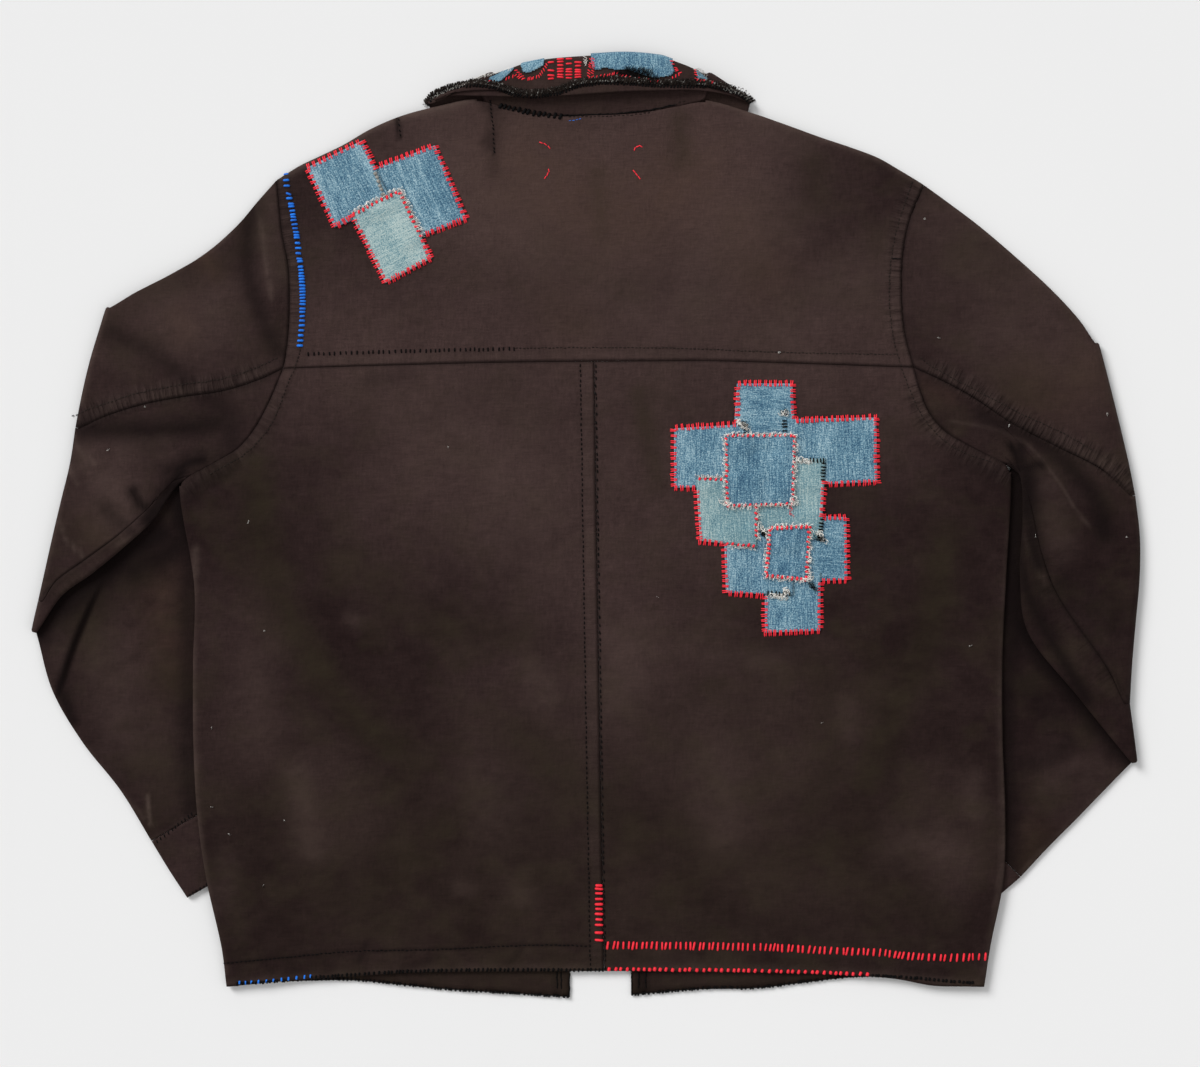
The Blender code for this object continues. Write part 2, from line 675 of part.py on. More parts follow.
def make_yoke():
    left = shoulder_columns(SHOULDER_LEFT, ARMHOLE_LEFT, ROUND_ROOM)
    right = shoulder_columns(SHOULDER_RIGHT, ARMHOLE_RIGHT, ROUND_ROOM)
    neck = route(NECK_BACK)
    top = left + [neck(k / NECK_STEPS) for k in range(1, NECK_STEPS)] + right[::-1]
    shares = shares_of(top)
    bottom = [Vector((lerp(YOKE_SEAM[0][0], YOKE_SEAM[-1][0], s), 0)) for s in shares]
    for p in bottom:
        p.y = table(YOKE_SEAM, p.x, 1)
    first = [Vector(p) for p in ARMHOLE_LEFT[YOKE_POINT::-1]]
    last = [Vector(p) for p in ARMHOLE_RIGHT[YOKE_POINT::-1]]
    first[-1], last[-1] = top[0], top[-1]
    along = [lerp(a, b, 0.5) for a, b in zip(shares_of(first), shares_of(last))]
    rows = [[at_height(p, back_height(p)) for p in row] for row in fill(bottom, top, first, last, along)]
    ways = [Vector((0, 1))] * len(top)
    ways[0] = shoulder_ways(SHOULDER_LEFT, ARMHOLE_LEFT)[0]
    ways[-1] = shoulder_ways(SHOULDER_RIGHT, ARMHOLE_RIGHT)[0]
    turned = turned_edge(top, [at_height(way, 0) for way in ways])
    rows += [list(row) for row in zip(*turned)]
    flat_rows, seam = len(first) - 1, len(ACROSS) - 1
    neck_end = len(top) - 1 - seam

    def keep(i, j):
        return i < flat_rows or j < seam or j >= neck_end

    sheet("yoke", rows, "moleskin", keep=keep)


def make_front(side, armhole, shoulder, hem, neck):
    sign = -1 if side == "left" else 1
    outer = [p - Vector((sign * SIDE_TAB, 0)) for p in side_line(side)]
    outer += [Vector(p) for p in armhole[UNDER_SEAM_POINT:0:-1]]
    top = shoulder_columns(shoulder, armhole, ROUND_ROOM + SIDE_TAB)
    outer.append(top[0])
    opening_x = hem[-1][0]
    neck_rows = len(neck) - 1
    heights = [p.y for p in outer[: len(outer) - neck_rows]]
    stretch = (neck[0][1] - hem[-1][1]) / (heights[-1] - heights[0])
    inner = [Vector((opening_x, hem[-1][1] + (y - heights[0]) * stretch)) for y in heights]
    inner += [Vector(p) for p in neck[1:]]
    inner[-1] = top[-1]
    bottom_x = [lerp(outer[0].x, opening_x, u) for u in ACROSS]
    bottom = [Vector((x, table(hem, x, 1))) for x in bottom_x]
    outer[0], inner[0] = bottom[0], bottom[-1]
    along = [lerp(a, b, 0.5) for a, b in zip(shares_of(outer), shares_of(inner))]
    rows = [[at_height(p, front_height(p)) for p in row] for row in fill(bottom, top, outer, inner, along)]
    sheet(f"front_{side}", rows, "moleskin")


# Collar


def collar_section(row, beyond):
    """A section of the collar: the stand, the roll and the leaf, for the layer this far outside."""
    neck, roll, edge = Vector(row[0:2]), Vector(row[2:4]), Vector(row[4:6])
    turn, off = math.radians(row[6]), row[7]
    across = (edge - roll).normalized()
    out = Vector((-across.y, across.x)) if across.x > 0 else Vector((across.y, -across.x))
    face = Vector((out.x * math.sin(turn), out.y * math.sin(turn), math.cos(turn)))
    base = lerp(back_height(neck), front_height(neck), (1 - math.cos(turn)) / 2)
    around = Vector((face.x, face.y, 0)) * (LAYER + LOFT) / 2
    lying = 0.0 if row[6] == 180 else min(1.0, row[6] / COLLAR_LYING)
    foot = lerp((neck + edge) / 2, edge, lying)
    away = (roll - foot).normalized()
    away = Vector((away.x, away.y, 0))
    neck, roll, edge = (at_height(p, base) + around for p in (neck, roll, edge))
    middle = roll + face * COLLAR_ROLL - away * (COLLAR_ROLL + COLLAR_EASE * LAYER)
    radius = COLLAR_ROLL + beyond
    reach = COLLAR_ROLL + COLLAR_EASE * beyond

    def round_at(angle):
        angle = math.radians(angle)
        return middle + away * reach * math.sin(angle) - face * radius * math.cos(angle)

    start, end = neck - face * beyond, round_at(0)
    inner = [lerp(start, end, s) for s in (0.0, 0.5, 1.0)]
    inner += [round_at(angle) for angle in (58, 96, 135)]
    top = round_at(180)
    tip = edge + face * (2 * COLLAR_ROLL + beyond)
    back = [lerp(top, tip, s) + face * off * s**1.5 for s in (0.0, 0.5, 1.0)]
    return inner + back


def top_collar_section(row, above=0.0):
    """The top collar's section, whose free edge is drawn back, or a layer this far above it."""
    section = collar_section(row, LAYER + above)
    share = COLLAR_TOP_SHORTER / (section[-1] - section[-2]).length
    section[-1] = lerp(section[-1], section[-2], min(0.8, share))
    return section


def in_top_collar(i, j):
    """Whether the top collar has a cell: its stand is only behind the neck, where the leaf covers it."""
    return j >= COLLAR_STAND_CELLS or COLLAR[i][6] == COLLAR[i + 1][6] == 0


def in_under_collar(i, j):
    """Whether the undercollar has a cell: its roll is left out inside the top collar's at the two ends."""
    at_tip = any(0 < row[6] < 180 for row in COLLAR[i : i + 2])
    return not at_tip or j == 0 or j >= COLLAR_LEAF_CELL


def make_collar():
    under = [collar_section(row, 0.0) for row in COLLAR]
    top = [top_collar_section(row) for row in COLLAR]
    sheet("collar_under", under, "collar cloth", keep=in_under_collar, even=False)
    sheet("collar_top", top, "collar cloth", keep=in_top_collar, even=False)


# Patches


def tops(names):
    """A function that gives the highest point of the named pieces at a place."""
    graph = bpy.context.evaluated_depsgraph_get()
    trees = [BVHTree.FromObject(bpy.data.objects[name], graph) for name in names]
    down = Vector((0, 0, -1))

    def at(point):
        start = Vector(((point.x - CENTRE.x) * MM, (point.y - CENTRE.y) * MM, 1))
        hits = [tree.ray_cast(start, down)[0] for tree in trees]
        return max((hit.z / MM for hit in hits if hit), default=0.0)

    return at


def make_patch(name, corners, finish, below):
    """A denim patch that lies on the pieces below it, clear of them between its points too."""
    upper_left, upper_right, lower_right, lower_left = (Vector(p) for p in corners)
    shares = [k / PATCH_CELLS for k in range(PATCH_CELLS + 1)]
    cell = max((upper_right - upper_left).length, (lower_left - upper_left).length) / PATCH_CELLS
    top = tops(below)
    around = [Vector((0, 0))]
    for reach in (0.4 * cell, 0.85 * cell, 1.3 * cell):  # round the point, as far as its neighbours
        turns = [math.tau * k / 12 for k in range(12)]
        around += [Vector((math.cos(t), math.sin(t))) * reach for t in turns]
    rows = []
    for v in shares:
        row = []
        for u in shares:
            place = lerp(lerp(upper_left, upper_right, u), lerp(lower_left, lower_right, u), v)
            near = [place + way for way in around]
            near = [p for p in near if distance_to(list(corners), p) < DENIM] or [place]
            height = max(top(p) for p in near)
            row.append(at_height(place, height + PATCH_CLEAR + DENIM / 2))
        rows.append(row)
    sheet(name, rows, finish, thickness=DENIM)


def make_patches(prefix, patches, panels):
    below = list(panels)
    for number, (finish, *corners) in enumerate(patches, 1):
        name = f"{prefix}_{number:02d}"
        bpy.context.view_layer.update()
        make_patch(name, corners, finish, below)
        below.append(name)


def stops(first, last):
    """The whole numbers between two places, with both ends."""
    return [first, *range(math.floor(first) + 1, math.ceil(last)), last]


def between(rows, place):
    """What lies between two neighbouring entries of a list, at a place given in entries."""
    i = min(int(place), len(rows) - 2)
    if isinstance(rows[i], Vector):
        return lerp(rows[i], rows[i + 1], place - i)
    return [lerp(a, b, place - i) for a, b in zip(rows[i], rows[i + 1])]


def make_collar_patch(number, first, last, low, high):
    """A patch on the collar's leaf, made from the leaf's own points moved out."""
    sections = [top_collar_section(row, (CLOTH + DENIM) / 2 + COLLAR_PATCH_CLEAR) for row in COLLAR]
    rows = [[between(between(sections, i), j) for j in stops(low, high)] for i in stops(first, last)]
    sheet(f"patch_collar_{number}", rows, "mid denim", thickness=DENIM)


def clear_scene():
    for obj in list(bpy.data.objects):
        bpy.data.objects.remove(obj, do_unlink=True)


def main():
    global collection
    clear_scene()
    collection = bpy.data.collections.new("patched boro jacket")
    bpy.context.scene.collection.children.link(collection)
    make_sleeve("left", SLEEVE_LEFT)
    make_sleeve("right", SLEEVE_RIGHT)
    make_back("left", ARMHOLE_LEFT)
    make_back("right", ARMHOLE_RIGHT)
    make_yoke()
    make_front("left", ARMHOLE_LEFT, SHOULDER_LEFT, FRONT_HEM_LEFT, NECK_FRONT_LEFT)
    make_front("right", ARMHOLE_RIGHT, SHOULDER_RIGHT, FRONT_HEM_RIGHT, NECK_FRONT_RIGHT)
    make_collar()
    make_patches("patch_shoulder", SHOULDER_PATCHES, ["yoke"])
    make_patches("patch_back", BACK_PATCHES, ["back_right"])
    for number, row in enumerate(COLLAR_PATCHES, 1):
        make_collar_patch(number, *row)


main()
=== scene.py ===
"""The look of a patched work jacket in dark brown moleskin, laid flat on its front.

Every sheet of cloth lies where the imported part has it, and is made here with finer creases, raised
seams, topstitching, patches and darning. Tables are in millimetres: X to the right from the centre-back
line, Y up from the back's hem, and Z above the table that the jacket lies on.
"""

import math
import random

import bmesh
import bpy
import numpy as np
from mathutils import Matrix, Vector
from mathutils.bvhtree import BVHTree


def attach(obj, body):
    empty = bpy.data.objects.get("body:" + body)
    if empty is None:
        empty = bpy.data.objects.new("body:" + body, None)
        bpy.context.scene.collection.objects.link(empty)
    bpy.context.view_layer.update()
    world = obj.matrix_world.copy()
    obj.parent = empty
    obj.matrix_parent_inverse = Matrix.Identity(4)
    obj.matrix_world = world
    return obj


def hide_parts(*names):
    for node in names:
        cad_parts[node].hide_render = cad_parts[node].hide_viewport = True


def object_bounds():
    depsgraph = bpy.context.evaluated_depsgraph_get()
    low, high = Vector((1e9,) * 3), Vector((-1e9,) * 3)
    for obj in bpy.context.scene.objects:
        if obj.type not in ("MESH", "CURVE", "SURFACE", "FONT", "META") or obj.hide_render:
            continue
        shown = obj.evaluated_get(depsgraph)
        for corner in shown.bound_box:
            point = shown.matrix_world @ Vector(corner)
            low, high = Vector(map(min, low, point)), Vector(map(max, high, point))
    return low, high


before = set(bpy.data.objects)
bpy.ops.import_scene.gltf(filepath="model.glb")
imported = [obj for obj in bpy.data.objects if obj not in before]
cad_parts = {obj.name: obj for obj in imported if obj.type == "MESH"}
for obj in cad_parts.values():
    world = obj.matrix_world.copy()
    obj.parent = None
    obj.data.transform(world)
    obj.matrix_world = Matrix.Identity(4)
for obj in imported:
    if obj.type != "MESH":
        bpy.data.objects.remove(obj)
cad_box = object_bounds()

MM = 0.001  # tables are in millimetres and Blender is in metres
# Driving dimensions
CLOTH = 1.4  # moleskin with its turnings
DENIM = 1.0
SEAM_GAP = 0.3  # between neighbouring pieces
LAYER = CLOTH + 0.4  # between the middles of two layers that lie on each other
FLOOR_LAYER = CLOTH / 2  # the middle of the layer that lies on the table
RISE = 2 * LAYER  # how far two layers of cloth lift what lies over them
RISE_MARGIN = 22.0  # the lift is whole this far beyond the layers that cause it
RISE_RAMP = 100.0  # and falls to nothing over this further distance
LOFT = 0.5  # how much further apart the garment's two layers lie than touching cloth
SIDE_TAB = 8.0  # how far the backs and the yoke turn under to their seams
FOLD_ROOM = 1.0  # how much further apart the folded sleeve's outer layers lie than four touching layers
UNDER_LIFT = 0.8  # the share of the upper arm's lift that its lower layer has
ARMHOLE_FADE = 3  # how soon the armhole's curve dies out down the sleeve, as a power of the share left
RIGHT_SIDE_TALLER = 11.0  # the right side seam ends this far above the left one
ROUND_STEPS = 3  # straight steps in each half-round edge
NECK_STEPS = 8  # straight steps in the neckline at the back
SLEEVE_STEP = 2.9  # the longest side of a cell of cloth
SLEEVE_UNDER_STEP = 3.6
BACK_STEP = 2.75
FRONT_STEP = 6.0
COLLAR_STEP = 2.4
PATCH_STEP = 2.2
COLLAR_PATCH_STEP = 1.1
PATCH_CLEAR = 0.15  # between a patch and what it lies on
COLLAR_PATCH_CLEAR = 0.25
QUARTERS = (0, 0.25, 0.5, 0.75, 1)
CENTRE = Vector((-9.2, 356.7))  # the middle of the laid-out jacket

# The armholes, from the shoulder down to the underarm. The sixth point is the yoke seam.
YOKE_POINT = 5
MIDDLE_POINT = 8
UNDER_SEAM_POINT = 10
ARMHOLE_LEFT = (
    (-257.6, 634.4), (-253.6, 593.6), (-248.4, 566), (-247.2, 533), (-248.8, 505), (-252.4, 483.2),
    (-258.4, 468), (-266.4, 450.4), (-277, 432), (-291.2, 416.8), (-326, 397.6), (-337, 390.6),
)
ARMHOLE_RIGHT = (
    (261.6, 630.4), (251.2, 606.4), (244.8, 578.4), (243.2, 545.6), (245.6, 513.6), (253, 484),
    (258.4, 464.8), (264.8, 448.8), (276.8, 433.6), (292.8, 423.2), (324, 407.6), (334, 402.4),
)

# Each sleeve as it lies, seen from above. The upper arm's sections run from the armhole to the fold at
# the elbow, the forearm's two edges from the fold to the cuff seam, and the cuff's from there to the
# opening. The hidden edges lie under the body. Each section has its share of the arm, then x and y of the
# top edge, the back seam, the middle of the under panel, the under seam and the lower edge, and how far
# the cloth stands up at the top and at the bottom. The fold's shares are where the back seam and the
# under seam reach it.
SLEEVE_LEFT = {
    "armhole": ARMHOLE_LEFT,
    "sections": (
        (0.14, -272, 618, -272, 474, -299, 433, -344, 390, -342.5, 382, 0.6, 0.6),
        (0.3, -291, 596, -300, 465, -328, 422, -360, 371, -355, 362.5, 1, 1.6),
        (0.47, -315, 575, -333, 460, -358, 408, -384, 349, -379, 340, 1.4, 3.2),
        (0.65, -343, 558, -364, 454, -387, 393, -411, 329, -405, 318.5, 1.6, 3.4),
        (0.84, -370, 544, -393, 445, -413, 378, -434, 312, -430, 300, 1.2, 2.4),
    ),
    "fold_lift": (0.6, 1.2),
    "fold": (
        (-394.4, 532.8), (-408.8, 484.8), (-419.2, 435.2), (-423.2, 408), (-433.6, 364.8), (-448.8, 296.8),
        (-454.4, 272),
    ),
    "fold_shares": (0.374, 0.905),
    "forearm_hidden": ((-394.4, 532.8), (-236.8, 172.8)),
    "forearm_seen": (
        (-454.4, 272), (-441.6, 236), (-426.4, 201.6), (-390.4, 153.6), (-364, 120), (-358.4, 104),
    ),
    "cuff_hidden": ((-236.8, 172.8), (-208, 127.2)),
    "cuff_seen": ((-358.4, 104), (-352, 92.8), (-329.6, 58.4)),
}
SLEEVE_RIGHT = {
    "armhole": ARMHOLE_RIGHT,
    "sections": (
        (0.14, 280, 617, 275, 474, 299, 441, 337, 402, 340, 394, 0.4, 0.2),
        (0.3, 305, 598, 302, 459, 338, 424, 346, 375, 340.5, 362, 1, 0.8),
        (0.47, 333, 574, 333, 438, 358, 396, 356, 331, 338, 316, 1.4, 2.4),
        (0.65, 361, 548, 368, 420, 379, 370, 370, 297, 345, 270, 1.6, 4.2),
        (0.84, 384, 523, 403, 402, 408, 340, 406, 245, 385, 219, 1.2, 3.4),
    ),
    "fold_lift": (0.6, 2),
    "fold": (
        (401.6, 504), (413.6, 457.6), (430.8, 380), (434.6, 330), (428.4, 253.6), (426, 210), (432, 167.2),
    ),
    "fold_shares": (0.37, 0.86),
    "forearm_hidden": ((401.6, 504), (334, 408), (276, 286), (239.2, 175.2)),
    "forearm_seen": ((432, 167.2), (398.4, 136.8), (374.4, 112), (352, 89.6), (339.2, 75.2)),
    "cuff_hidden": ((239.2, 175.2), (201.6, 136.8)),
    "cuff_seen": ((339.2, 75.2), (324, 62.4), (300.8, 37.6)),
}
FOREARM_ROWS = (0, 0.25, 0.5, 0.75, 1)

# The sides of the body, from the hem up to the underarm: height, left side, right side
SIDES = (
    (-12, -298, 309.6), (20, -302, 314.5), (72, -313.6, 325), (113, -320, 326.8), (154, -324, 325.6),
    (213, -324.6, 323.2), (290, -324.6, 325), (341, -322, 329), (389, -335.6, 331),
)
# The back's hem and the yoke seam, from the left side to the right side
BACK_HEM = (
    (-298, -12.6), (-262, -9), (-231, -6.4), (-142, -0.8), (4.8, 0), (150, -1.2), (232, -4.8), (262, -11.4),
    (309.6, -12.4),
)
YOKE_SEAM = (
    (-252.4, 483.2), (-203, 484.8), (-80.8, 488), (-3.2, 488.8), (93.6, 489.2), (185.6, 486.4), (253, 484),
)
CENTRE_BACK = ((4.8, 0), (1, 218), (-3.2, 488.8))
# The fronts' hems, from the side to the opening edge
FRONT_HEM_LEFT = ((-290, -10), (-203, -7.2), (-120, -15.2), (-81, -17.6), (-22.4, -21.4))
FRONT_HEM_RIGHT = ((301, -9), (216, -4), (124, -14.4), (99, -13.6), (26.4, -19.6))
# The shoulders, from the armhole to the neck
SHOULDER_LEFT = ((-257.6, 634.4), (-236.8, 647.2), (-208.8, 660), (-172, 680), (-136, 691.5), (-97, 699))
SHOULDER_RIGHT = ((261.6, 630.4), (243.2, 641.6), (221.6, 653.6), (172.8, 670.4), (124.4, 687.5), (86, 698))
NECK_BACK = ((-97, 699), (-63.2, 688.8), (-38.4, 685), (5.6, 686.2), (31.2, 687.2), (59.2, 692), (86, 698))
NECK_FRONT_LEFT = ((-22.4, 600), (-52, 634), (-80, 668), (-97, 699))
NECK_FRONT_RIGHT = ((26.4, 600), (48, 634), (70, 668), (86, 698))
ACROSS = (0.0, 0.05, 0.13, 0.23, 0.35, 0.49, 0.64, 0.81, 1.0)  # shares of a panel's width from its side
SIDE_SHARES = (0.0, 0.08, 0.21, 0.34, 0.48, 0.64, 0.8, 1.0)  # shares of the side's height from the hem

# The collar's sections, from the left front end round the back to the right front end. Each row has
# x and y of the neck seam, of the roll and of the free edge of the leaf, the turn of the leaf's outer
# face from up to down in degrees, and how far the free edge stands off what it lies on.
COLLAR = (
    (-24, 603, -15, 609, -66, 566, 180, 0), (-53, 636, -44, 644, -96, 606, 180, 0),
    (-80, 669, -69, 677, -126, 655, 180, 0), (-91, 692, -82, 705, -134, 686, 180, 0),
    (-92, 699, -82, 716.6, -135, 693, 150, 0.1), (-92, 699, -82, 716.6, -135, 693, 110, 0.2),
    (-92, 699, -82, 716.6, -135, 693, 70, 0.3), (-92, 699, -82, 716.6, -134, 693, 30, 0.4),
    (-86, 697.5, -76.5, 719.4, -119, 700, 10, 0.6), (-78, 694.5, -69, 722.6, -96, 700.3, 4, 1.7),
    (-66, 690.6, -60, 726, -76, 700, 0, 3), (-38.4, 686.3, -40, 730, -45, 699.6, 0, 4.5),
    (-8, 686.8, -9, 732.6, -10, 701.8, 0, 5), (22, 688, 23, 734, 24, 703.9, 0, 5),
    (48, 691.5, 50, 731.6, 55, 704.7, 0, 4.5), (63, 694.8, 68, 725.8, 75, 705.2, 0, 3),
    (72, 697, 76, 722.2, 92, 703.5, 4, 1.7), (78, 698.5, 80.5, 719.4, 108, 700, 10, 0.6),
    (84, 698, 86, 716.8, 121, 693.5, 30, 0.4), (84, 698, 86, 716.8, 121, 693.5, 70, 0.3),
    (84, 698, 86, 716.8, 121, 693.5, 110, 0.2), (84, 698, 86, 716.8, 121, 693.5, 150, 0.1),
    (81, 690, 80, 704, 120, 686, 180, 0), (70, 669, 60, 677, 116, 655, 180, 0),
    (49, 636, 40, 644, 94, 606, 180, 0), (28, 603, 19, 609, 70, 566, 180, 0),
)
# How far short of the undercollar's edge the top collar stops, at places across the jacket
COLLAR_TOP_EDGE = (
    (-135, 5), (-96, 7.4), (-76, 5.4), (-45, 3), (-30, 4.6), (-10, 9), (24, 8.4), (55, 6), (92, 6.4),
    (121, 5.4),
)
COLLAR_ROLL = 0.9  # the undercollar's inner radius at the roll, to its middle
COLLAR_EASE = 1.7  # how many times further apart the two layers lie at the roll
COLLAR_LYING = 15.0  # the turn in degrees from which the roll points straight away from the leaf
COLLAR_TURNED_IN = 3.2  # how far the stand reaches in under the yoke
COLLAR_TUCKED_DOWN = 1.7  # and how far down
COLLAR_NECK_TURN = 10  # up to this turn a section is behind the neck
COLLAR_ROUND = (58, 96, 135)  # degrees round the roll
COLLAR_MOST_SHORT = 0.8  # the share of its last cell by which the top collar stops short at most
COLLAR_STAND_CELLS = 3  # the section's cells up to the roll
COLLAR_LEAF_CELL = 6  # the section's first cell in the leaf

# Denim patches, each with its number and its corners from the upper left round to the upper right, lower
# right and lower left. A patch lies on those before it.
SHOULDER_PATCHES = (
    (1, "mid denim", (-181, 642.4), (-130.4, 661.6), (-104.8, 602.4), (-155, 583.4)),
    (2, "mid denim", (-233.6, 644), (-188.8, 665.6), (-163, 614), (-211.2, 596)),
    (3, "pale denim, turned", (-197.6, 605.6), (-159.2, 624.8), (-132.8, 571.2), (-170.4, 551.2)),
)
BACK_PATCHES = (
    (3, "mid denim, turned", (111.2, 471.2), (156, 471.2), (158.6, 422.4), (108, 422.8)),
    (1, "mid denim", (60.8, 435.2), (118.6, 438.6), (118.6, 389), (60.8, 387.2)),
    (2, "mid denim", (148.6, 442.6), (223.2, 444), (224, 392), (150.8, 388.6)),
    (6, "mid denim, turned", (160, 366), (199.2, 364), (200, 313.6), (160, 312)),
    (4, "pale denim", (125.6, 409.6), (182.4, 411.2), (179.2, 346.5), (127.2, 343.6)),
    (7, "mid denim", (133.6, 320), (178.4, 320), (178.4, 272.8), (133.6, 271.2)),
    (5, "mid denim", (100.8, 351), (156.6, 352), (156.6, 301.4), (102.4, 303.2)),
    (8, "pale denim", (78.4, 394.4), (127.2, 393.6), (127.2, 340), (81.6, 344.8)),
    (9, "mid denim", (102.4, 429.6), (157.6, 429.6), (156, 374.4), (103.2, 372.8)),
    (10, "mid denim", (137.6, 355.2), (169.6, 356.8), (167.2, 313.6), (134.4, 316.8)),
)
# Patches on the collar's leaf: from and to along the collar, in rows of its table, and from and to
# across it, in points of its section, where 4 is the outermost point of the roll and 8 the free edge
COLLAR_PATCHES = (
    (8.1, 9.3, 5.2, 7.2), (9.8, 10.9, 4.6, 7.2), (12.1, 14.55, 4.2, 7.5), (15.5, 16.9, 4.2, 7.2),
)
# The ragged outline that each collar patch is cut to
COLLAR_PATCH_CUTS = (
    (
        -88, 712.6, -86.4, 716, -83.2, 719.2, -74.4, 724, -66, 726, -69.6, 717.6, -74.4, 715.2, -79.2, 712,
        -84, 711.6,
    ),
    (-62, 725, -61.6, 731, -42, 738, -43.6, 725.6, -48.8, 722.4, -53.6, 720, -58.4, 718.8, -61, 721),
    (
        -7, 734, -5, 737, 64, 737, 60.2, 727.8, 62, 724, 58.8, 717.6, 54, 716.4, 45.6, 715, 37.6, 716.8,
        30, 719.6, 21.6, 722.4, 12, 722, 5.6, 723.4, -2.4, 721.6, -5.6, 724,
    ),
    (75, 740, 77.6, 722, 78.6, 711.6, 85, 712.6, 92, 710.6, 100, 711, 100, 740),
)
# How faded each patch is all over, from 0 to 1, and its streaks: how much paler, or darker if below 0, how
# wide, and where
FADES = {
    "patch_shoulder_01": (0.48, (0.3, 1.2, -160, 646, -136, 590), (0.25, 1.6, -146, 652, -124, 598)),
    "patch_shoulder_02": (0.46, (0.28, 4, -229, 640, -208, 597), (0.25, 3, -193, 662, -174, 626)),
    "patch_shoulder_03": (0.68, (0.2, 8, -160, 600, -148, 570)),
    "patch_back_01": (0.46, (0.18, 7, 68, 434, 68, 388), (0.16, 6, 98, 436, 98, 388)),
    "patch_back_02": (0.41, (0.18, 9, 184, 442, 184, 392)),
    "patch_back_03": (0.44, (0.2, 6, 114, 446, 156, 446), (0.15, 5, 114, 462, 156, 462)),
    "patch_back_04": (0.36, (0.22, 12, 172, 404, 170, 372), (-0.24, 9, 130, 358, 152, 352)),
    "patch_back_05": (0.44, (0.16, 6, 106, 342, 106, 302)),
    "patch_back_06": (0.43, (0.14, 6, 170, 352, 198, 352)),
    "patch_back_07": (0.41, (0.16, 8, 152, 310, 152, 272)),
    "patch_back_08": (0.4, (0.22, 9, 86, 390, 86, 346)),
    "patch_back_09": (0.37, (0.16, 4, 108, 424, 108, 376), (0.12, 5, 136, 426, 136, 376)),
    "patch_back_10": (0.34, (0.22, 1.6, 144, 352, 142, 318), (0.2, 1.6, 156, 352, 155, 316)),
    "patch_collar_1": (0.46,),
    "patch_collar_2": (0.5,),
    "patch_collar_3": (0.36, (0.2, 3, -6, 716, 62, 712)),
    "patch_collar_4": (0.46,),
}
# The whip-stitched edge of the top collar, from its left tip to its right
COLLAR_WHIPPING = (
    (-136, 694.2), (-131, 700.6), (-122.4, 704.6), (-109.6, 708), (-98.4, 709), (-85.6, 707.4),
    (-74.4, 703.9), (-63.2, 700.4), (-52, 699.6), (-39.2, 700.7), (-26.4, 704.1), (-16.8, 708.2),
    (-2.4, 710), (13.6, 710.8), (37.6, 709), (53.6, 708.2), (69.6, 708), (85.6, 708.3), (98.4, 706.4),
    (111.2, 702.2), (119.2, 697.4), (122, 694.6),
)


# Curves and blends


def lerp(a, b, share):
    return a + (b - a) * share


def smoothstep(share):
    share = min(1.0, max(0.0, share))
    return share * share * (3 - 2 * share)


def route(points):
    """A smooth way through points, as a function of the share of its length."""
    points = [Vector(p) for p in points]
    marks = [0.0]
    for a, b in zip(points, points[1:]):
        marks.append(marks[-1] + (b - a).length)

    def slope(i):
        low, high = max(0, i - 1), min(len(points) - 1, i + 1)
        return (points[high] - points[low]) / (marks[high] - marks[low])

    def at(share):
        distance = share * marks[-1]
        i = max(k for k in range(len(marks) - 1) if marks[k] <= distance + 1e-9)
        length = marks[i + 1] - marks[i]
        t = (distance - marks[i]) / length
        start = points[i] * (1 + 2 * t) * (1 - t) ** 2
        end = points[i + 1] * (3 - 2 * t) * t**2
        leave = slope(i) * length * t * (1 - t) ** 2
        arrive = slope(i + 1) * length * t**2 * (t - 1)
        return start + end + leave + arrive

    return at


def table(rows, at, column):
    """The value of a table's column at a place given in its first column."""
    rows = sorted(rows)
    at = min(rows[-1][0], max(rows[0][0], at))
    for low, high in zip(rows, rows[1:]):
        if at <= high[0]:
            return lerp(low[column], high[column], (at - low[0]) / (high[0] - low[0]))
    return rows[-1][column]


def shares_of(points):
    """How far along its length each point of a line is, from 0 to 1."""
    marks = [0.0]
    for a, b in zip(points, points[1:]):
        marks.append(marks[-1] + (Vector(b) - Vector(a)).length)
    return [mark / marks[-1] for mark in marks]


def fill(start, end, first, last, along, fade=1):
    """The points inside four edges: rows from start to end, columns from first to last."""
    across = [lerp(a, b, 0.5) for a, b in zip(shares_of(start), shares_of(end))]
    rows = []
    for share, a, b in zip(along, first, last):
        row = []
        for j, v in enumerate(across):
            ruled = lerp(a, b, v)
            bow_start = start[j] - lerp(start[0], start[-1], v)
            bow_end = end[j] - lerp(end[0], end[-1], v)
            row.append(ruled + bow_start * (1 - share) ** fade + bow_end * share**fade)
        rows.append(row)
    return rows


# Heights above the table


def distance_to(outline, point):
    """How far a point lies outside a convex outline, and 0 inside it."""
    inside, nearest = True, math.inf
    middle = sum((Vector(p) for p in outline), Vector((0, 0))) / len(outline)
    for a, b in zip(outline, outline[1:] + outline[:1]):
        a, b = Vector(a), Vector(b)
        edge = b - a
        share = min(1.0, max(0.0, (point - a).dot(edge) / edge.length_squared))
        nearest = min(nearest, (point - (a + edge * share)).length)
        side = edge.cross(point - a)
        inside = inside and side * edge.cross(middle - a) >= 0
    return 0.0 if inside else nearest


def folded_under(sleeve):
    """The outline of the forearm that lies under the body and the upper arm."""
    return [sleeve["fold"][0], sleeve["cuff_hidden"][-1], sleeve["cuff_seen"][-1], sleeve["fold"][-1]]


def leaf_under(first, last):
    """The outline of the collar's leaf that lies under a front."""
    inner = [COLLAR[first][2:4], COLLAR[last][2:4]]
    return inner + [COLLAR[last][4:6], COLLAR[first][4:6]]


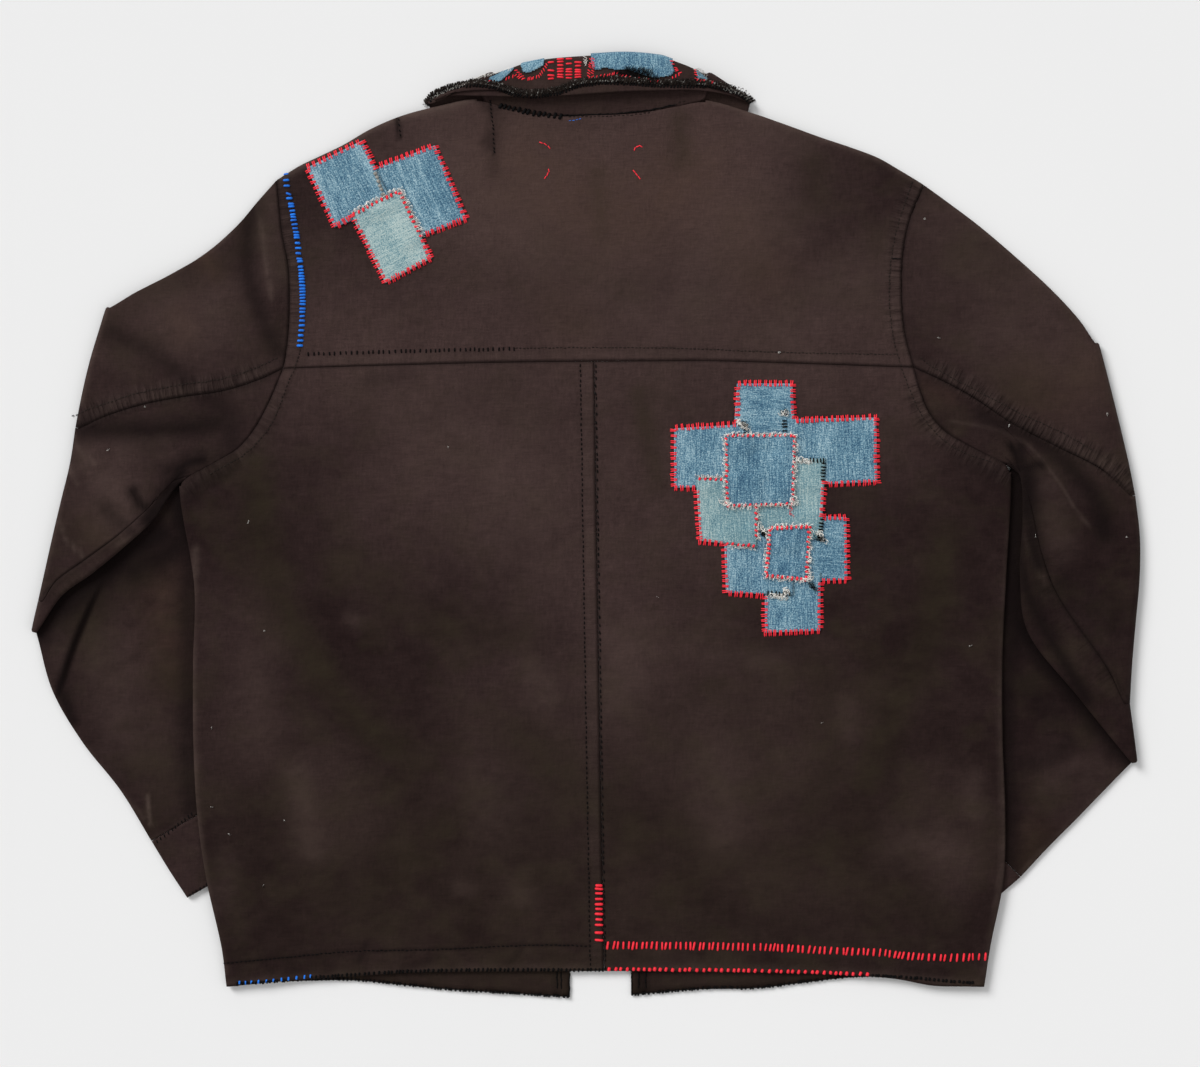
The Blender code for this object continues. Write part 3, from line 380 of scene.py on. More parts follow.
LIFTERS = (
    folded_under(SLEEVE_LEFT), folded_under(SLEEVE_RIGHT), leaf_under(0, 5),
    leaf_under(len(COLLAR) - 1, len(COLLAR) - 6),
)


def rise(point):
    """How far the layers underneath lift the cloth at a place."""
    away = min(distance_to(outline, Vector(point[:2])) for outline in LIFTERS)
    return RISE * (1 - smoothstep((away - RISE_MARGIN) / RISE_RAMP))


def front_height(point):
    """The middle of the body's lower layer, whose outside faces the table."""
    return FLOOR_LAYER + rise(point)


def back_height(point):
    return front_height(point) + LAYER + LOFT


def at_height(point, height):
    return Vector((point[0], point[1], height))


# Fine cloth


def smooth_between(points, marks, places):
    """The points of smooth curves through given points, at places along them."""
    last = len(marks) - 1
    before = np.maximum(np.arange(last + 1) - 1, 0)
    after = np.minimum(np.arange(last + 1) + 1, last)
    slopes = (points[after] - points[before]) / (marks[after] - marks[before])[:, None, None]
    i = np.clip(np.searchsorted(marks, places, side="right") - 1, 0, last - 1)
    length = (marks[i + 1] - marks[i])[:, None, None]
    t = (places - marks[i])[:, None, None] / length
    start = points[i] * (1 + 2 * t) * (1 - t) ** 2 + slopes[i] * length * t * (1 - t) ** 2
    end = points[i + 1] * (3 - 2 * t) * t**2 + slopes[i + 1] * length * t**2 * (t - 1)
    return start + end


def marks_down(net):
    """How far along, on average, each row of a net of points is."""
    lengths = np.linalg.norm(np.diff(net, axis=0), axis=2).mean(axis=1)
    return np.concatenate(([0.0], np.cumsum(np.maximum(lengths, 0.2))))


def cell_places(marks, step):
    """Places that share each cell between marks into steps, and the cell that each step is in."""
    places, cells = [marks[0]], []
    for k, (low, high) in enumerate(zip(marks, marks[1:])):
        count = max(1, math.ceil((high - low) / step))
        places += [low + (high - low) * (n + 1) / count for n in range(count)]
        cells += [k] * count
    return np.array(places), cells


def finer(net, step, ring):
    """A net of points with cells no longer than a step, and the coarse row and column of each cell."""
    down = marks_down(net)
    row_places, row_cells = cell_places(down, step)
    net = smooth_between(net, down, row_places)
    flipped = net.transpose(1, 0, 2)
    if ring:
        flipped = np.concatenate((flipped[-2:], flipped, flipped[:3]))
    across = marks_down(flipped)
    wanted = across[2:-2] if ring else across
    places, cells = cell_places(wanted, step)
    fine = smooth_between(flipped, across, places).transpose(1, 0, 2)
    return fine, row_places, places - places[0], row_cells, cells


def facing(points, face_down=False):
    """The way out of each point of a net, up at its highest point, and whether the net is inside out."""
    down, across = np.gradient(points, axis=0), np.gradient(points, axis=1)
    normals = np.cross(across, down)
    normals /= np.maximum(np.linalg.norm(normals, axis=2, keepdims=True), 1e-9)
    highest = np.unravel_index(np.argmax(points[..., 2]), points.shape[:2])
    turned = bool((normals[highest][2] < 0) != face_down)
    return (-normals if turned else normals), turned


def along_and_off(points, line):
    """How far along a line each point is, and how far off it, with the left of its way positive."""
    xy = points[..., :2].reshape(-1, 2)
    nearest = np.full(len(xy), np.inf)
    along, off = np.zeros(len(xy)), np.zeros(len(xy))
    start = 0.0
    for a, b in zip(np.array(line, float), np.array(line, float)[1:]):
        edge = b - a
        length = np.hypot(*edge)
        share = np.clip((xy - a) @ edge / length**2, 0, 1)
        away = xy - a - share[:, None] * edge
        distance = np.hypot(away[:, 0], away[:, 1])
        side = np.sign(edge[0] * away[:, 1] - edge[1] * away[:, 0])
        nearer = distance < nearest
        nearest[nearer] = distance[nearer]
        along[nearer] = (start + share * length)[nearer]
        off[nearer] = (distance * np.where(side == 0, 1, side))[nearer]
        start += length
    return along.reshape(points.shape[:2]), off.reshape(points.shape[:2]), start


def bell(value):
    """1 in the middle, and soon down to 0 on both sides."""
    return np.exp(-(value**2))


def soft_step(low, high, value):
    share = np.clip((value - low) / (high - low), 0, 1)
    return share * share * (3 - 2 * share)


def creases_at(points, creases):
    """The height that the listed creases add: each is a ridge, or a trough if its height is below 0."""
    added = np.zeros(points.shape[:2])
    for height, left, right, *line in creases:
        along, off, length = along_and_off(points, curve(line))
        width = np.where(off > 0, left, right)
        ends = soft_step(0, 0.3 * length, along) * soft_step(0, 0.3 * length, length - along)
        added += height * bell(off / width) * ends
    return added


def points_of(line):
    """A line's points, which a table may hold as one row of numbers: x, y, x, y and so on."""
    return list(zip(line[::2], line[1::2])) if isinstance(line[0], (int, float)) else line


def curve(line):
    """A smooth line through points, in six straight steps from each to the next."""
    points = points_of(line)
    at, count = route(points), 6 * (len(points) - 1)
    return [tuple(at(k / count)) for k in range(count + 1)]


SWELL_WAVES = 9


def swell(points, size, seed):
    """Soft, uneven ups and downs, from -1 to 1, of about a size."""
    chance = random.Random(seed)
    total = np.zeros(points.shape[:2])
    for _ in range(SWELL_WAVES):
        turn = chance.uniform(0, math.tau)
        wave = chance.uniform(0.7, 1.6) * size
        start = chance.uniform(0, math.tau)
        way = points[..., 0] * math.cos(turn) + points[..., 1] * math.sin(turn)
        total += np.sin(math.tau * way / wave + start)
    return total / SWELL_WAVES


def puckers(points, line, seed, spacing, reach, depth, sides=(1, 1)):
    """Short ripples that run across a sewn line, uneven in spacing, depth and reach."""
    along, off, length = along_and_off(points, line)
    chance = random.Random(seed)
    added = np.zeros(points.shape[:2])
    place = chance.uniform(0, spacing)
    while place < length:
        left, right = (reach * chance.uniform(0.6, 1.3) for _ in range(2))
        width = spacing * chance.uniform(0.24, 0.36)
        lean = chance.uniform(-0.35, 0.35)
        height = depth * chance.uniform(0.35, 1.2)
        fade = np.where(off > 0, bell(off / left) * sides[0], bell(off / right) * sides[1])
        added += height * fade * bell((along - place - lean * off) / width)
        place += spacing * chance.uniform(0.6, 1.5)
    return added


def band(points, line, side, width, height):
    """A seam's turned-in allowance, which raises the cloth on one side as far as its topstitching."""
    off = along_and_off(points, line)[1] * side
    inside = soft_step(-0.6, 1.2, off) * (1 - soft_step(width - 1.0, width + 3.5, off))
    return height * inside


# Creases, seams and their puckers

LAST_ARM_ROW = len(SLEEVE_LEFT["sections"]) + 1
FIRST_FOREARM_ROW = LAST_ARM_ROW + ROUND_STEPS + 1

# Each crease is a soft ridge, or a trough where its height is below 0: its height, its width to the left
# and to the right of its way, and the points that it runs through.
CREASES = {
    "left arm": (
        (2.2, 8, 4, -269, 622, -267, 600, -265, 576, -262, 552, -258, 525, -253, 500),
        (-1.5, 6, 9, -276, 622, -279, 595, -280, 568, -276, 545, -268, 522, -260, 500),
        (1, 9, 9, -320, 578, -310, 566, -303, 552), (-0.8, 8, 5, -328, 572, -321, 562, -314, 550),
        (-1.2, 11, 9, -392, 514, -368, 502, -347, 488, -330, 476),
        (0.9, 16, 16, -365, 530, -335, 515, -310, 500),
        (-1, 4, 5, -316, 462, -304, 450, -290, 440, -282, 434),
        (-1.7, 3, 10, -416, 430, -385, 430, -350, 431, -325, 433, -305, 441),
        (1.5, 9, 5, -418, 419, -385, 421, -352, 423, -322, 425),
        (1.8, 12, 5, -418, 432, -414, 418, -404, 407, -392, 398), (1, 6, 3, -424, 405, -420, 398, -415, 390),
        (1.9, 9, 4, -434, 368, -428, 354, -418, 341, -405, 329),
        (-1.6, 4, 4, -374, 388, -368, 376, -358, 367, -348, 361),
        (-1.4, 3, 4, -362, 368, -350, 378, -338, 392), (1.3, 7, 7, -392, 392, -378, 378, -371, 364),
        (-0.8, 5, 5, -398, 372, -386, 362, -374, 354), (1.2, 10, 8, -345, 410, -325, 408, -305, 418),
        (-1.3, 4, 5, -345, 398, -336, 405, -322, 412),
    ),
    "left forearm": (
        (2.6, 3, 15, -392, 322, -404, 304, -415, 282, -425, 254, -431, 232, -434, 216),
        (-0.9, 4, 3, -390, 318, -401, 300, -411, 278, -421, 252, -427, 232, -430, 214),
        (0.9, 14, 10, -372, 300, -392, 262, -402, 225, -398, 190),
        (-0.7, 4, 5, -402, 228, -386, 240, -368, 250, -352, 264),
        (0.8, 7, 7, -400, 240, -380, 252, -362, 262), (-0.6, 4, 4, -372, 280, -358, 292, -346, 306),
        (0.9, 8, 8, -352, 322, -346, 300, -340, 278), (-0.6, 6, 5, -385, 190, -378, 168, -366, 148),
        (0.8, 3, 4, -361, 144, -360, 130, -359, 116), (-0.5, 4, 4, -352, 94, -338, 100, -322, 112),
        (0.6, 5, 5, -348, 84, -334, 92, -318, 100),
    ),
    "right arm": (
        (3, 5, 12, 276, 441, 300, 438, 320, 434, 338, 426, 352, 413, 366, 394, 380, 372, 394, 355),
        (-1.6, 10, 5, 285, 450, 312, 445, 340, 434, 362, 420, 382, 398, 398, 372, 404, 350),
        (-0.7, 9, 9, 258, 470, 272, 458, 290, 452), (1.1, 12, 12, 352, 392, 360, 366, 366, 340, 372, 318),
        (-1, 7, 8, 362, 330, 380, 322, 398, 318, 416, 322), (0.9, 8, 8, 380, 338, 402, 334, 424, 344),
        (-1.6, 3, 4, 330, 422, 336, 410, 335, 396), (-1.3, 3, 3, 354, 408, 344, 404, 334, 400),
        (-1, 8, 8, 412, 300, 418, 270, 416, 240), (1, 12, 8, 424, 330, 428, 290, 422, 250, 420, 225),
        (0.8, 14, 14, 372, 290, 392, 262, 405, 232), (-0.7, 7, 7, 300, 478, 312, 490, 318, 506),
        (0.7, 10, 10, 318, 474, 338, 480, 360, 476), (-0.6, 10, 8, 345, 462, 366, 458, 388, 448),
        (0.8, 14, 12, 392, 496, 408, 462, 420, 430), (-0.6, 12, 12, 262, 600, 268, 575, 276, 548),
        (0.5, 16, 16, 300, 585, 318, 548, 330, 515), (1, 4, 4, 424, 236, 427, 222, 425, 205),
    ),
    "right forearm": (
        (1.2, 10, 9, 342, 128, 368, 152, 396, 168, 416, 172),
        (-0.8, 6, 6, 334, 172, 356, 178, 378, 190, 394, 196), (1, 9, 9, 336, 246, 356, 222, 372, 204),
        (-0.6, 6, 7, 330, 226, 346, 212, 360, 200), (-0.6, 5, 5, 352, 112, 366, 124, 384, 130),
        (0.7, 6, 6, 330, 96, 340, 106, 352, 118),
    ),
    "body": (
        (0.9, 12, 10, -166, 682, -140, 664, -122, 640, -112, 612),
        (-0.8, 8, 8, -150, 684, -128, 670, -108, 650), (-0.9, 7, 9, 66, 688, 70, 668, 66, 645, 58, 622),
        (0.8, 12, 12, 84, 688, 96, 660, 104, 632), (-0.7, 9, 9, 172, 650, 176, 628, 170, 602),
        (0.6, 14, 14, 196, 640, 204, 612, 202, 585), (-0.5, 9, 9, -6, 650, -4, 620, -12, 590),
        (0.6, 20, 20, -60, 640, -40, 600, -50, 560), (-0.6, 8, 8, -228, 618, -222, 592, -226, 566),
        (0.6, 8, 8, -214, 560, -206, 535, -212, 508),
        (-1.1, 16, 13, -276, 404, -270, 340, -252, 290, -222, 230, -190, 180),
        (0.8, 15, 15, -300, 372, -306, 320, -300, 262, -290, 200),
        (0.9, 12, 14, -240, 240, -238, 190, -232, 140, -214, 98),
        (-0.6, 12, 12, -282, 130, -262, 118, -240, 104), (0.6, 16, 16, -300, 170, -292, 120, -284, 70),
        (-0.5, 12, 12, -176, 160, -160, 120, -150, 80), (0.5, 16, 16, -80, 140, -60, 110, -56, 70),
        (-0.6, 10, 10, 34, 470, 44, 430, 40, 392), (0.5, 10, 10, 52, 470, 60, 450, 58, 430),
        (-1.1, 14, 16, 282, 380, 276, 320, 262, 262, 236, 200, 206, 150),
        (0.8, 14, 14, 306, 380, 308, 320, 304, 250, 300, 180),
        (0.8, 13, 13, 222, 190, 228, 150, 250, 118, 262, 90), (-0.5, 10, 12, 120, 180, 106, 140, 96, 96),
        (0.6, 12, 12, 92, 200, 86, 150, 82, 100), (-0.5, 14, 14, 10, 220, 30, 180, 40, 130),
        (0.8, 3, 4, -333, 378, -326, 356, -319, 343), (-0.8, 5, 4, -326, 352, -312, 346, -298, 350),
        (0.6, 5, 5, -322, 372, -304, 382, -286, 392), (-0.6, 4, 4, -318, 386, -300, 394, -282, 406),
        (0.7, 4, 4, 322, 398, 306, 402, 290, 410), (-0.6, 4, 4, 326, 392, 308, 396, 292, 402),
        (-0.5, 3, 3, -272, 8, -264, 4, -256, -2), (0.5, 5, 4, -150, 20, -158, 10, -166, 2),
    ),
    "front": (
        (0.6, 12, 14, -270, 400, -240, 320, -230, 230, -250, 140),
        (0.5, 10, 12, -150, 500, -130, 400, -140, 300, -120, 200),
        (0.5, 14, 12, -80, 300, -60, 200, -70, 100), (0.6, 12, 10, -180, 180, -170, 110, -190, 40),
        (0.5, 12, 12, -160, 640, -120, 600, -90, 560), (0.6, 12, 14, 280, 400, 246, 330, 240, 240, 262, 150),
        (0.5, 10, 12, 140, 520, 150, 420, 126, 320, 136, 220), (0.5, 12, 14, 76, 280, 64, 190, 80, 110),
        (0.6, 10, 12, 190, 170, 176, 100, 196, 40), (0.5, 12, 12, 170, 636, 126, 600, 96, 556),
    ),
}


def sleeve_seam(sleeve, bound, column, fold_share):
    """Where a seam of the upper arm runs, from the armhole to the fold."""
    inner = [section[column : column + 2] for section in sleeve["sections"]]
    return curve([sleeve["armhole"][bound], *inner, route(sleeve["fold"])(fold_share)])


BACK_SEAM_LEFT = sleeve_seam(SLEEVE_LEFT, YOKE_POINT, 3, SLEEVE_LEFT["fold_shares"][0])
BACK_SEAM_RIGHT = sleeve_seam(SLEEVE_RIGHT, YOKE_POINT, 3, SLEEVE_RIGHT["fold_shares"][0])
UNDER_SEAM_LEFT = sleeve_seam(SLEEVE_LEFT, UNDER_SEAM_POINT, 7, SLEEVE_LEFT["fold_shares"][1])
UNDER_SEAM_RIGHT = sleeve_seam(SLEEVE_RIGHT, UNDER_SEAM_POINT, 7, SLEEVE_RIGHT["fold_shares"][1])
BAND = 9.6  # from a seam to its topstitching
CENTRE_BAND = 11.0
HEM_BAND = 19.0

# Every topstitched seam: its line, the side that its allowance is pressed to, the allowance's width,
# how high it stands, the puckers' spacing, reach and depth, and how hard its stitches pull
SEAMS = {
    "left arm": (
        (BACK_SEAM_LEFT, -1, BAND, 0.45, 6.2, 13, 0.75, 1), (UNDER_SEAM_LEFT, 1, 2.4, 0.5, 11, 7, 0.35, 0.2),
        (curve(ARMHOLE_LEFT), -1, 4, 0, 9, 8, 0.35, 0),
    ),
    "right arm": (
        (BACK_SEAM_RIGHT, 1, BAND, 0.45, 6, 13, 0.8, 1), (UNDER_SEAM_RIGHT, -1, 2.4, 0.5, 11, 7, 0.3, 0.2),
        (curve(ARMHOLE_RIGHT), 1, 4, 0, 9, 8, 0.35, 0),
    ),
    "left forearm": (),
    "right forearm": (),
    "body": (
        (curve(ARMHOLE_LEFT), 1, BAND, 0.4, 6, 9, 0.5, 0.55),
        (curve(ARMHOLE_RIGHT), -1, BAND, 0.4, 5.6, 9, 0.55, 0.65),
        (curve(YOKE_SEAM), 1, BAND, 0.28, 17, 9, 0.22, 0.16),
        (curve(CENTRE_BACK), 1, CENTRE_BAND, 0.28, 13, 9, 0.2, 0.16),
    ),
    "front": (),
}


def seams_at(points, part):
    added = np.zeros(points.shape[:2])
    for number, (line, side, width, height, spacing, reach, depth, _) in enumerate(SEAMS[part]):
        if height:
            added += band(points, line, side, width, height)
            stitched = curve_beside(line, side * width)
            groove = along_and_off(points, stitched)[1]
            added -= 0.25 * bell(groove / 1.6)
        sides = (1.0, 0.35) if side > 0 else (0.35, 1.0)
        added += puckers(points, line, number + 7, spacing, reach, depth, sides)
    return added


def curve_beside(line, distance):
    """A line that runs beside another, to the left of its way by a distance."""
    beside = []
    for k, point in enumerate(line):
        before, after = Vector(line[max(0, k - 1)]), Vector(line[min(len(line) - 1, k + 1)])
        way = (after - before).normalized()
        beside.append((point[0] - way.y * distance, point[1] + way.x * distance))
    return beside


def hem_at(points):
    """The back's turned-up hem, thicker below its stitching, and its wavy edge."""
    hem = np.interp(points[..., 0], [x for x, y in BACK_HEM], [y for x, y in BACK_HEM])
    above = points[..., 1] - hem
    added = 0.5 * (1 - soft_step(HEM_BAND - 2, HEM_BAND + 2, above))
    added -= 0.3 * bell((above - HEM_BAND) / 1.8)
    ripple = np.sin(points[..., 0] / 5.3) * np.sin(points[..., 0] / 17.0 + 1.0)
    return added + 0.25 * ripple * bell(above / 14)


def relief_at(part, points, upward, rows):
    """What the creases, seams and soft swells of a part of the garment add to the height of its points."""
    if part in ("front left", "front right"):
        return creases_at(points, CREASES["front"])
    if part == "yoke" or part.startswith("back"):
        added = creases_at(points, CREASES["body"]) + seams_at(points, "body") + hem_at(points)
        return (added + 0.35 * swell(points, 70, 3) + 0.12 * swell(points, 19, 4)) * upward
    side = part.split()[1]
    arm = creases_at(points, CREASES[f"{side} arm"]) + seams_at(points, f"{side} arm")
    forearm = creases_at(points, CREASES[f"{side} forearm"])
    soft = 0.4 * swell(points, 46, 5) + 0.15 * swell(points, 15, 6)
    on_arm = (rows <= LAST_ARM_ROW)[:, None]
    on_forearm = (rows >= FIRST_FOREARM_ROW)[:, None]
    return ((arm + soft) * on_arm + (forearm + soft) * on_forearm) * upward


# Strokes of each tone that is painted on the cloth: how strong, how wide to each side, and where. The tone
# that darkens toward near black is mostly painted shade in troughs, in the underarm valleys and under the
# sleeves' folded edges, with dark lines at stitching and some dirt. The tone of thin pale lines is painted
# highlight on crests and rolled edges, together with wear. Some pale strokes on the arms and shoulders are
# painted light on lit slopes and edges, and many green strokes run along the troughs of the creases.
TONES = {
    "front": {
        "light": ((0.14, 400, 0, 0, 0, 60),),
        "green": ((0.6, 60, -300, 0, 300, 0),),
        "dirt": (
            (0.9, 1, -32.8, -20, -32.8, 6), (0.8, 1, -29.4, -20, -29.4, 6), (0.9, 1, 32.8, -20, 32.8, 6),
            (0.8, 1, 38.4, -20, 38.4, 6), (0.5, 6, -330, 14, -200, 12, -100, 14, -20, 14),
        ),
    },
    "body": {
        "light": (
            (0.84, 120, -90, 640, 80, 635), (0.62, 110, -200, 500, 200, 500),
            (0.58, 110, -120, 410, 50, 385), (0.52, 90, -10, 330, 30, 260), (0.34, 90, -60, 210, 120, 200),
            (0.3, 60, -285, 270, -275, 190), (0.3, 50, -230, 150, -210, 130), (0.26, 70, 90, 140, 130, 100),
            (0.25, 36, 270, 150, 285, 90), (0.12, 400, 0, 0, 0, 60),
            (0.08, 150, -180, 440, -200, 240, -200, 100), (0.1, 80, -250, 140, -160, 80, -60, 60),
            (0.07, 40, 240, 300, 250, 200, 240, 100),
        ),
        "warm": (
            (0.9, 46, -60, 640, 0, 610, 70, 630), (0.7, 30, 110, 600, 130, 560),
            (0.5, 26, -30, 540, -20, 520),
        ),
        "green": (
            (1, 15, -274, 405, -268, 334, -240, 268, -195, 205, -165, 180),
            (0.9, 15, 278, 350, 262, 262, 214, 152), (0.8, 9, 32, 462, 40, 430, 48, 390),
            (0.7, 26, -70, 190, -30, 160, 20, 120), (0.8, 24, 70, 110, 120, 90, 180, 100),
            (0.7, 20, 180, 240, 186, 180, 170, 130), (0.7, 12, 172, 648, 176, 616),
            (0.7, 9, 66, 684, 68, 650), (0.5, 18, -200, 330, -130, 280, -60, 270), (0.5, 8, 0, 640, 2, 590),
            (0.6, 22, -250, 150, -210, 60, -150, 30), (0.6, 18, 240, 60, 280, 40),
            (0.45, 110, -200, 90, 0, 60, 180, 100), (0.35, 80, 40, 150, 160, 210),
        ),
        "pale": (
            (0.85, 7, -197, 284, -194, 280), (0.8, 12, -240, 160, -234, 118, -228, 98),
            (0.5, 16, -270, 250, -272, 190), (0.75, 17, -50, 240, -44, 224), (0.45, 24, -92, 146, -80, 126),
            (0.75, 22, 20, 262, 18, 224), (0.45, 10, 96, 250, 142, 248), (0.6, 19, 96, 168, 100, 112),
            (0.5, 12, -66, 66, -58, 60), (0.6, 13, 300, 152, 302, 130), (0.5, 20, 246, 104, 282, 98),
            (0.4, 52, -140, 440, -80, 400, -60, 350), (0.5, 10, 200, 212, 202, 192),
            (0.5, 12, -300, 60, -296, 90), (0.5, 7, -110, 66, -104, 64), (0.5, 5, -100, 355, -92, 354),
            (0.5, 44, -110, 640, -20, 560, 70, 540, 130, 590), (0.5, 30, 150, 520, 210, 560),
            # The two strokes along the shoulders by the neck are painted highlight on the shoulders' edges
            (0.6, 10, -160, 690, -120, 694), (0.55, 14, 120, 684, 160, 664),
        ),
        # Painted highlight along the rolled side edges, the shoulders and the hem, together with wear
        "wear_and_highlight": (
            (0.55, 3.2, -322, 338, -325, 280, -324, 200, -321, 120, -312, 60, -300, 0),
            (0.5, 3, 331, 360, 326, 290, 323, 230, 324, 150, 325, 100, 316, 30, 309, -8),
            (0.8, 3, -255, 634, -236, 646, -208, 659, -172, 679, -136, 690, -100, 698),
            (0.6, 3, 90, 698, 124, 687, 172, 670, 221, 653, 243, 641, 260, 630),
            (0.35, 4, -298, -10, -200, -4, -100, 1, 0, 2, 100, 1, 200, -2, 309, -10),
        ),
        # Painted shade at the underarms and by the collar's left end, and dark lines along the darts and the
        # hem's stitching
        "dirt": (
            (0.9, 2.4, -161, 685, -160, 676, -158.6, 668), (0.75, 1.5, -86.4, 700, -84.4, 676, -83.4, 654),
            (
                0.6, 1.3, -301, 6.6, -273.6, 8.8, -234.4, 12.8, -195.2, 16, -142.4, 16.8, -46.4, 20.8,
                -9.6, 20,
            ),
            (0.45, 1.6, -272, 11, -266, 5, -260, 0), (0.5, 3, -186, 22, -188, 14, -192, 8),
            (0.35, 3, -60, 24, -64, 14, -72, 6), (0.3, 4, -128, 12, -140, 6, -156, 2),
            (0.35, 9, -326, 384, -312, 392, -296, 402), (0.3, 10, 330, 396, 312, 402, 292, 412),
            (0.55, 5, -90, 664, -84, 672, -87, 660), (0.5, 4, -92, 697, -86, 690, -76, 694),
            (0.35, 6, -84, 696, -83, 660, -84, 640), (0.3, 8, -182, 474, -150, 478),
        ),
    },
    "left arm": {
        "light": (
            (0.5, 60, -370, 520, -310, 520), (0.5, 34, -390, 410, -385, 370),
            (0.3, 60, -290, 560, -280, 500), (0.26, 300, -340, 440, -320, 430),
        ),
        # Painted light on lit slopes beside the crests, with some pale blotches
        "pale": (
            (0.8, 14, -262, 622, -264, 596, -258, 560), (0.5, 22, -345, 540, -320, 510, -300, 545),
            (0.75, 16, -412, 412, -392, 392, -376, 380), (0.55, 22, -400, 370, -380, 372),
            (0.5, 12, -350, 418, -380, 416), (0.4, 8, -290, 462, -270, 470),
        ),
        "warm": (
            (0.9, 9, -318, 574, -308, 560), (0.6, 12, -335, 525, -330, 510), (0.5, 14, -408, 360, -400, 348),
        ),
        "green": ((0.5, 16, -360, 560, -330, 560), (0.5, 14, -390, 520, -385, 500)),
        # Painted highlights on the crests and along the fold's edge, together with wear
        "wear_and_highlight": (
            (0.45, 2, -275, 618, -270, 596, -267, 576, -264, 556, -262, 540),
            (0.55, 1.8, -424, 404, -420, 398, -416, 391),
            (0.55, 1.8, -419, 434, -417, 422, -410, 413, -403, 407),
            (0.55, 1.6, -432, 362, -428, 353, -424, 345, -416, 337, -410, 330),
            (0.6, 2.6, -310, 581, -302, 586, -292, 598),
            (0.5, 3, -420, 440, -428, 400, -436, 350, -448, 300, -454, 276),
            (0.5, 2.5, -394, 530, -404, 496, -414, 456), (0.4, 2, -385, 342, -370, 350, -358, 359),
        ),
        # Painted shade in the troughs of the creases and in the underarm valley
        "dirt": (
            (0.6, 8, -277, 616, -280, 590, -281, 565, -277, 545, -268, 522, -257, 496),
            (0.5, 9, -390, 512, -366, 500, -347, 488, -332, 476),
            (0.72, 11, -414, 434, -385, 434, -350, 435, -325, 436, -306, 440),
            (0.6, 12, -304, 452, -296, 438, -292, 420, -300, 408),
            (0.45, 8, -314, 460, -302, 448, -288, 438), (0.95, 5, -372, 385, -366, 374, -356, 366),
            (1, 9, -360, 362, -350, 374, -340, 388, -334, 400), (1, 5, -336, 402, -326, 408, -316, 410),
            (0.6, 8, -344, 400, -334, 406, -318, 414), (0.5, 7, -394, 370, -384, 360, -372, 352),
            (0.35, 14, -300, 410, -318, 404, -330, 398),
        ),
    },
    "left forearm": {
        "light": ((0.28, 50, -385, 250, -360, 170), (0.12, 200, -360, 250, -350, 240)),
        "warm": ((0.7, 22, -350, 310, -345, 270, -338, 240),),
        "green": (
            (0.7, 14, -350, 236, -342, 232), (0.6, 20, -350, 170, -340, 150),
            (0.6, 18, -405, 280, -400, 250),
        ),
        "pale": ((0.5, 24, -395, 250, -378, 190), (0.4, 14, -432, 268, -436, 246)),
        # Painted highlight on the outer edges and on the raised cuff seam, together with wear
        "wear_and_highlight": (
            (0.9, 1.6, -361, 140, -360, 128, -359, 118),
            (0.4, 2.2, -440, 232, -426, 200, -392, 155, -364, 122),
            (0.55, 5, -356, 101, -340, 110, -322, 121),
        ),
        # Painted shadow under the upper arm's folded edge and along the body's side, painted shade in a
        # trough, and a dark line at the cuff's seam
        "dirt": (
            (1, 3.6, -396, 316, -405, 298, -415, 275, -424, 252, -430, 233, -433, 221),
            (1, 17, -352, 350, -376, 336, -400, 316, -424, 298, -442, 284, -452, 272),
            (1, 14, -338, 388, -333, 362, -326, 346), (0.85, 16, -330, 345, -350, 333, -372, 322),
            (0.6, 9, -328, 336, -329, 290, -329, 230, -329, 170, -326, 130),
            (0.75, 6, -429, 221, -425, 210, -422, 200), (0.7, 7, -319, 122, -316, 100, -312, 76),
            (0.4, 4, -352, 95, -338, 103, -322, 113),
        ),
    },
    "right arm": {
        "light": (
            (0.42, 90, 300, 570, 380, 490), (0.34, 60, 380, 470, 350, 480), (0.12, 26, 356, 380, 372, 330),
            (0.06, 60, 400, 300, 400, 260),
        ),
        # Painted light on lit slopes beside the crest, with some pale blotches
        "pale": (
            (0.5, 16, 352, 398, 362, 370, 370, 345), (0.45, 18, 300, 510, 330, 520),
            (0.35, 40, 300, 590, 330, 540, 370, 510),
        ),
        "warm": ((0.6, 26, 390, 480, 370, 460, 350, 470), (0.5, 10, 262, 466, 280, 460)),
        "green": (
            (0.6, 22, 300, 580, 330, 570), (0.5, 14, 330, 470, 320, 480), (0.6, 8, 404, 380, 410, 372),
            (0.5, 10, 412, 240, 414, 226), (0.8, 2.4, 402, 313, 412, 321, 420, 328),
        ),
        # Painted highlights on the crest, along the top edge and along the fold, together with wear
        "wear_and_highlight": (
            (
                0.36, 1.4, 282, 441, 300, 438, 318, 434, 332, 428, 344, 421, 353, 412, 362, 400, 372, 386,
                381, 371, 392, 358,
            ),
            (0.5, 2.2, 268, 626, 300, 601, 334, 573, 361, 547, 384, 524, 400, 506),
            (
                0.6, 2.6, 402, 504, 412, 462, 421, 425, 428, 392, 434, 360, 436, 325, 431, 270, 428, 230,
                429, 200,
            ),
            (0.3, 1.4, 341, 350, 345, 336, 351, 322, 358, 311),
        ),
        # Painted shade in the trough above the crest and in the underarm valley, and painted shadow under
        # the folded lower edge
        "dirt": (
            (0.75, 9, 308, 444, 345, 429, 370, 411, 386, 395, 400, 374, 405, 350),
            (1, 4, 330, 422, 335, 413, 336, 403, 330, 404, 326, 404), (1, 5, 354, 406, 344, 404, 334, 402),
            (1, 11, 343, 398, 344, 384, 344, 366), (0.9, 8, 346, 366, 348, 346, 352, 326),
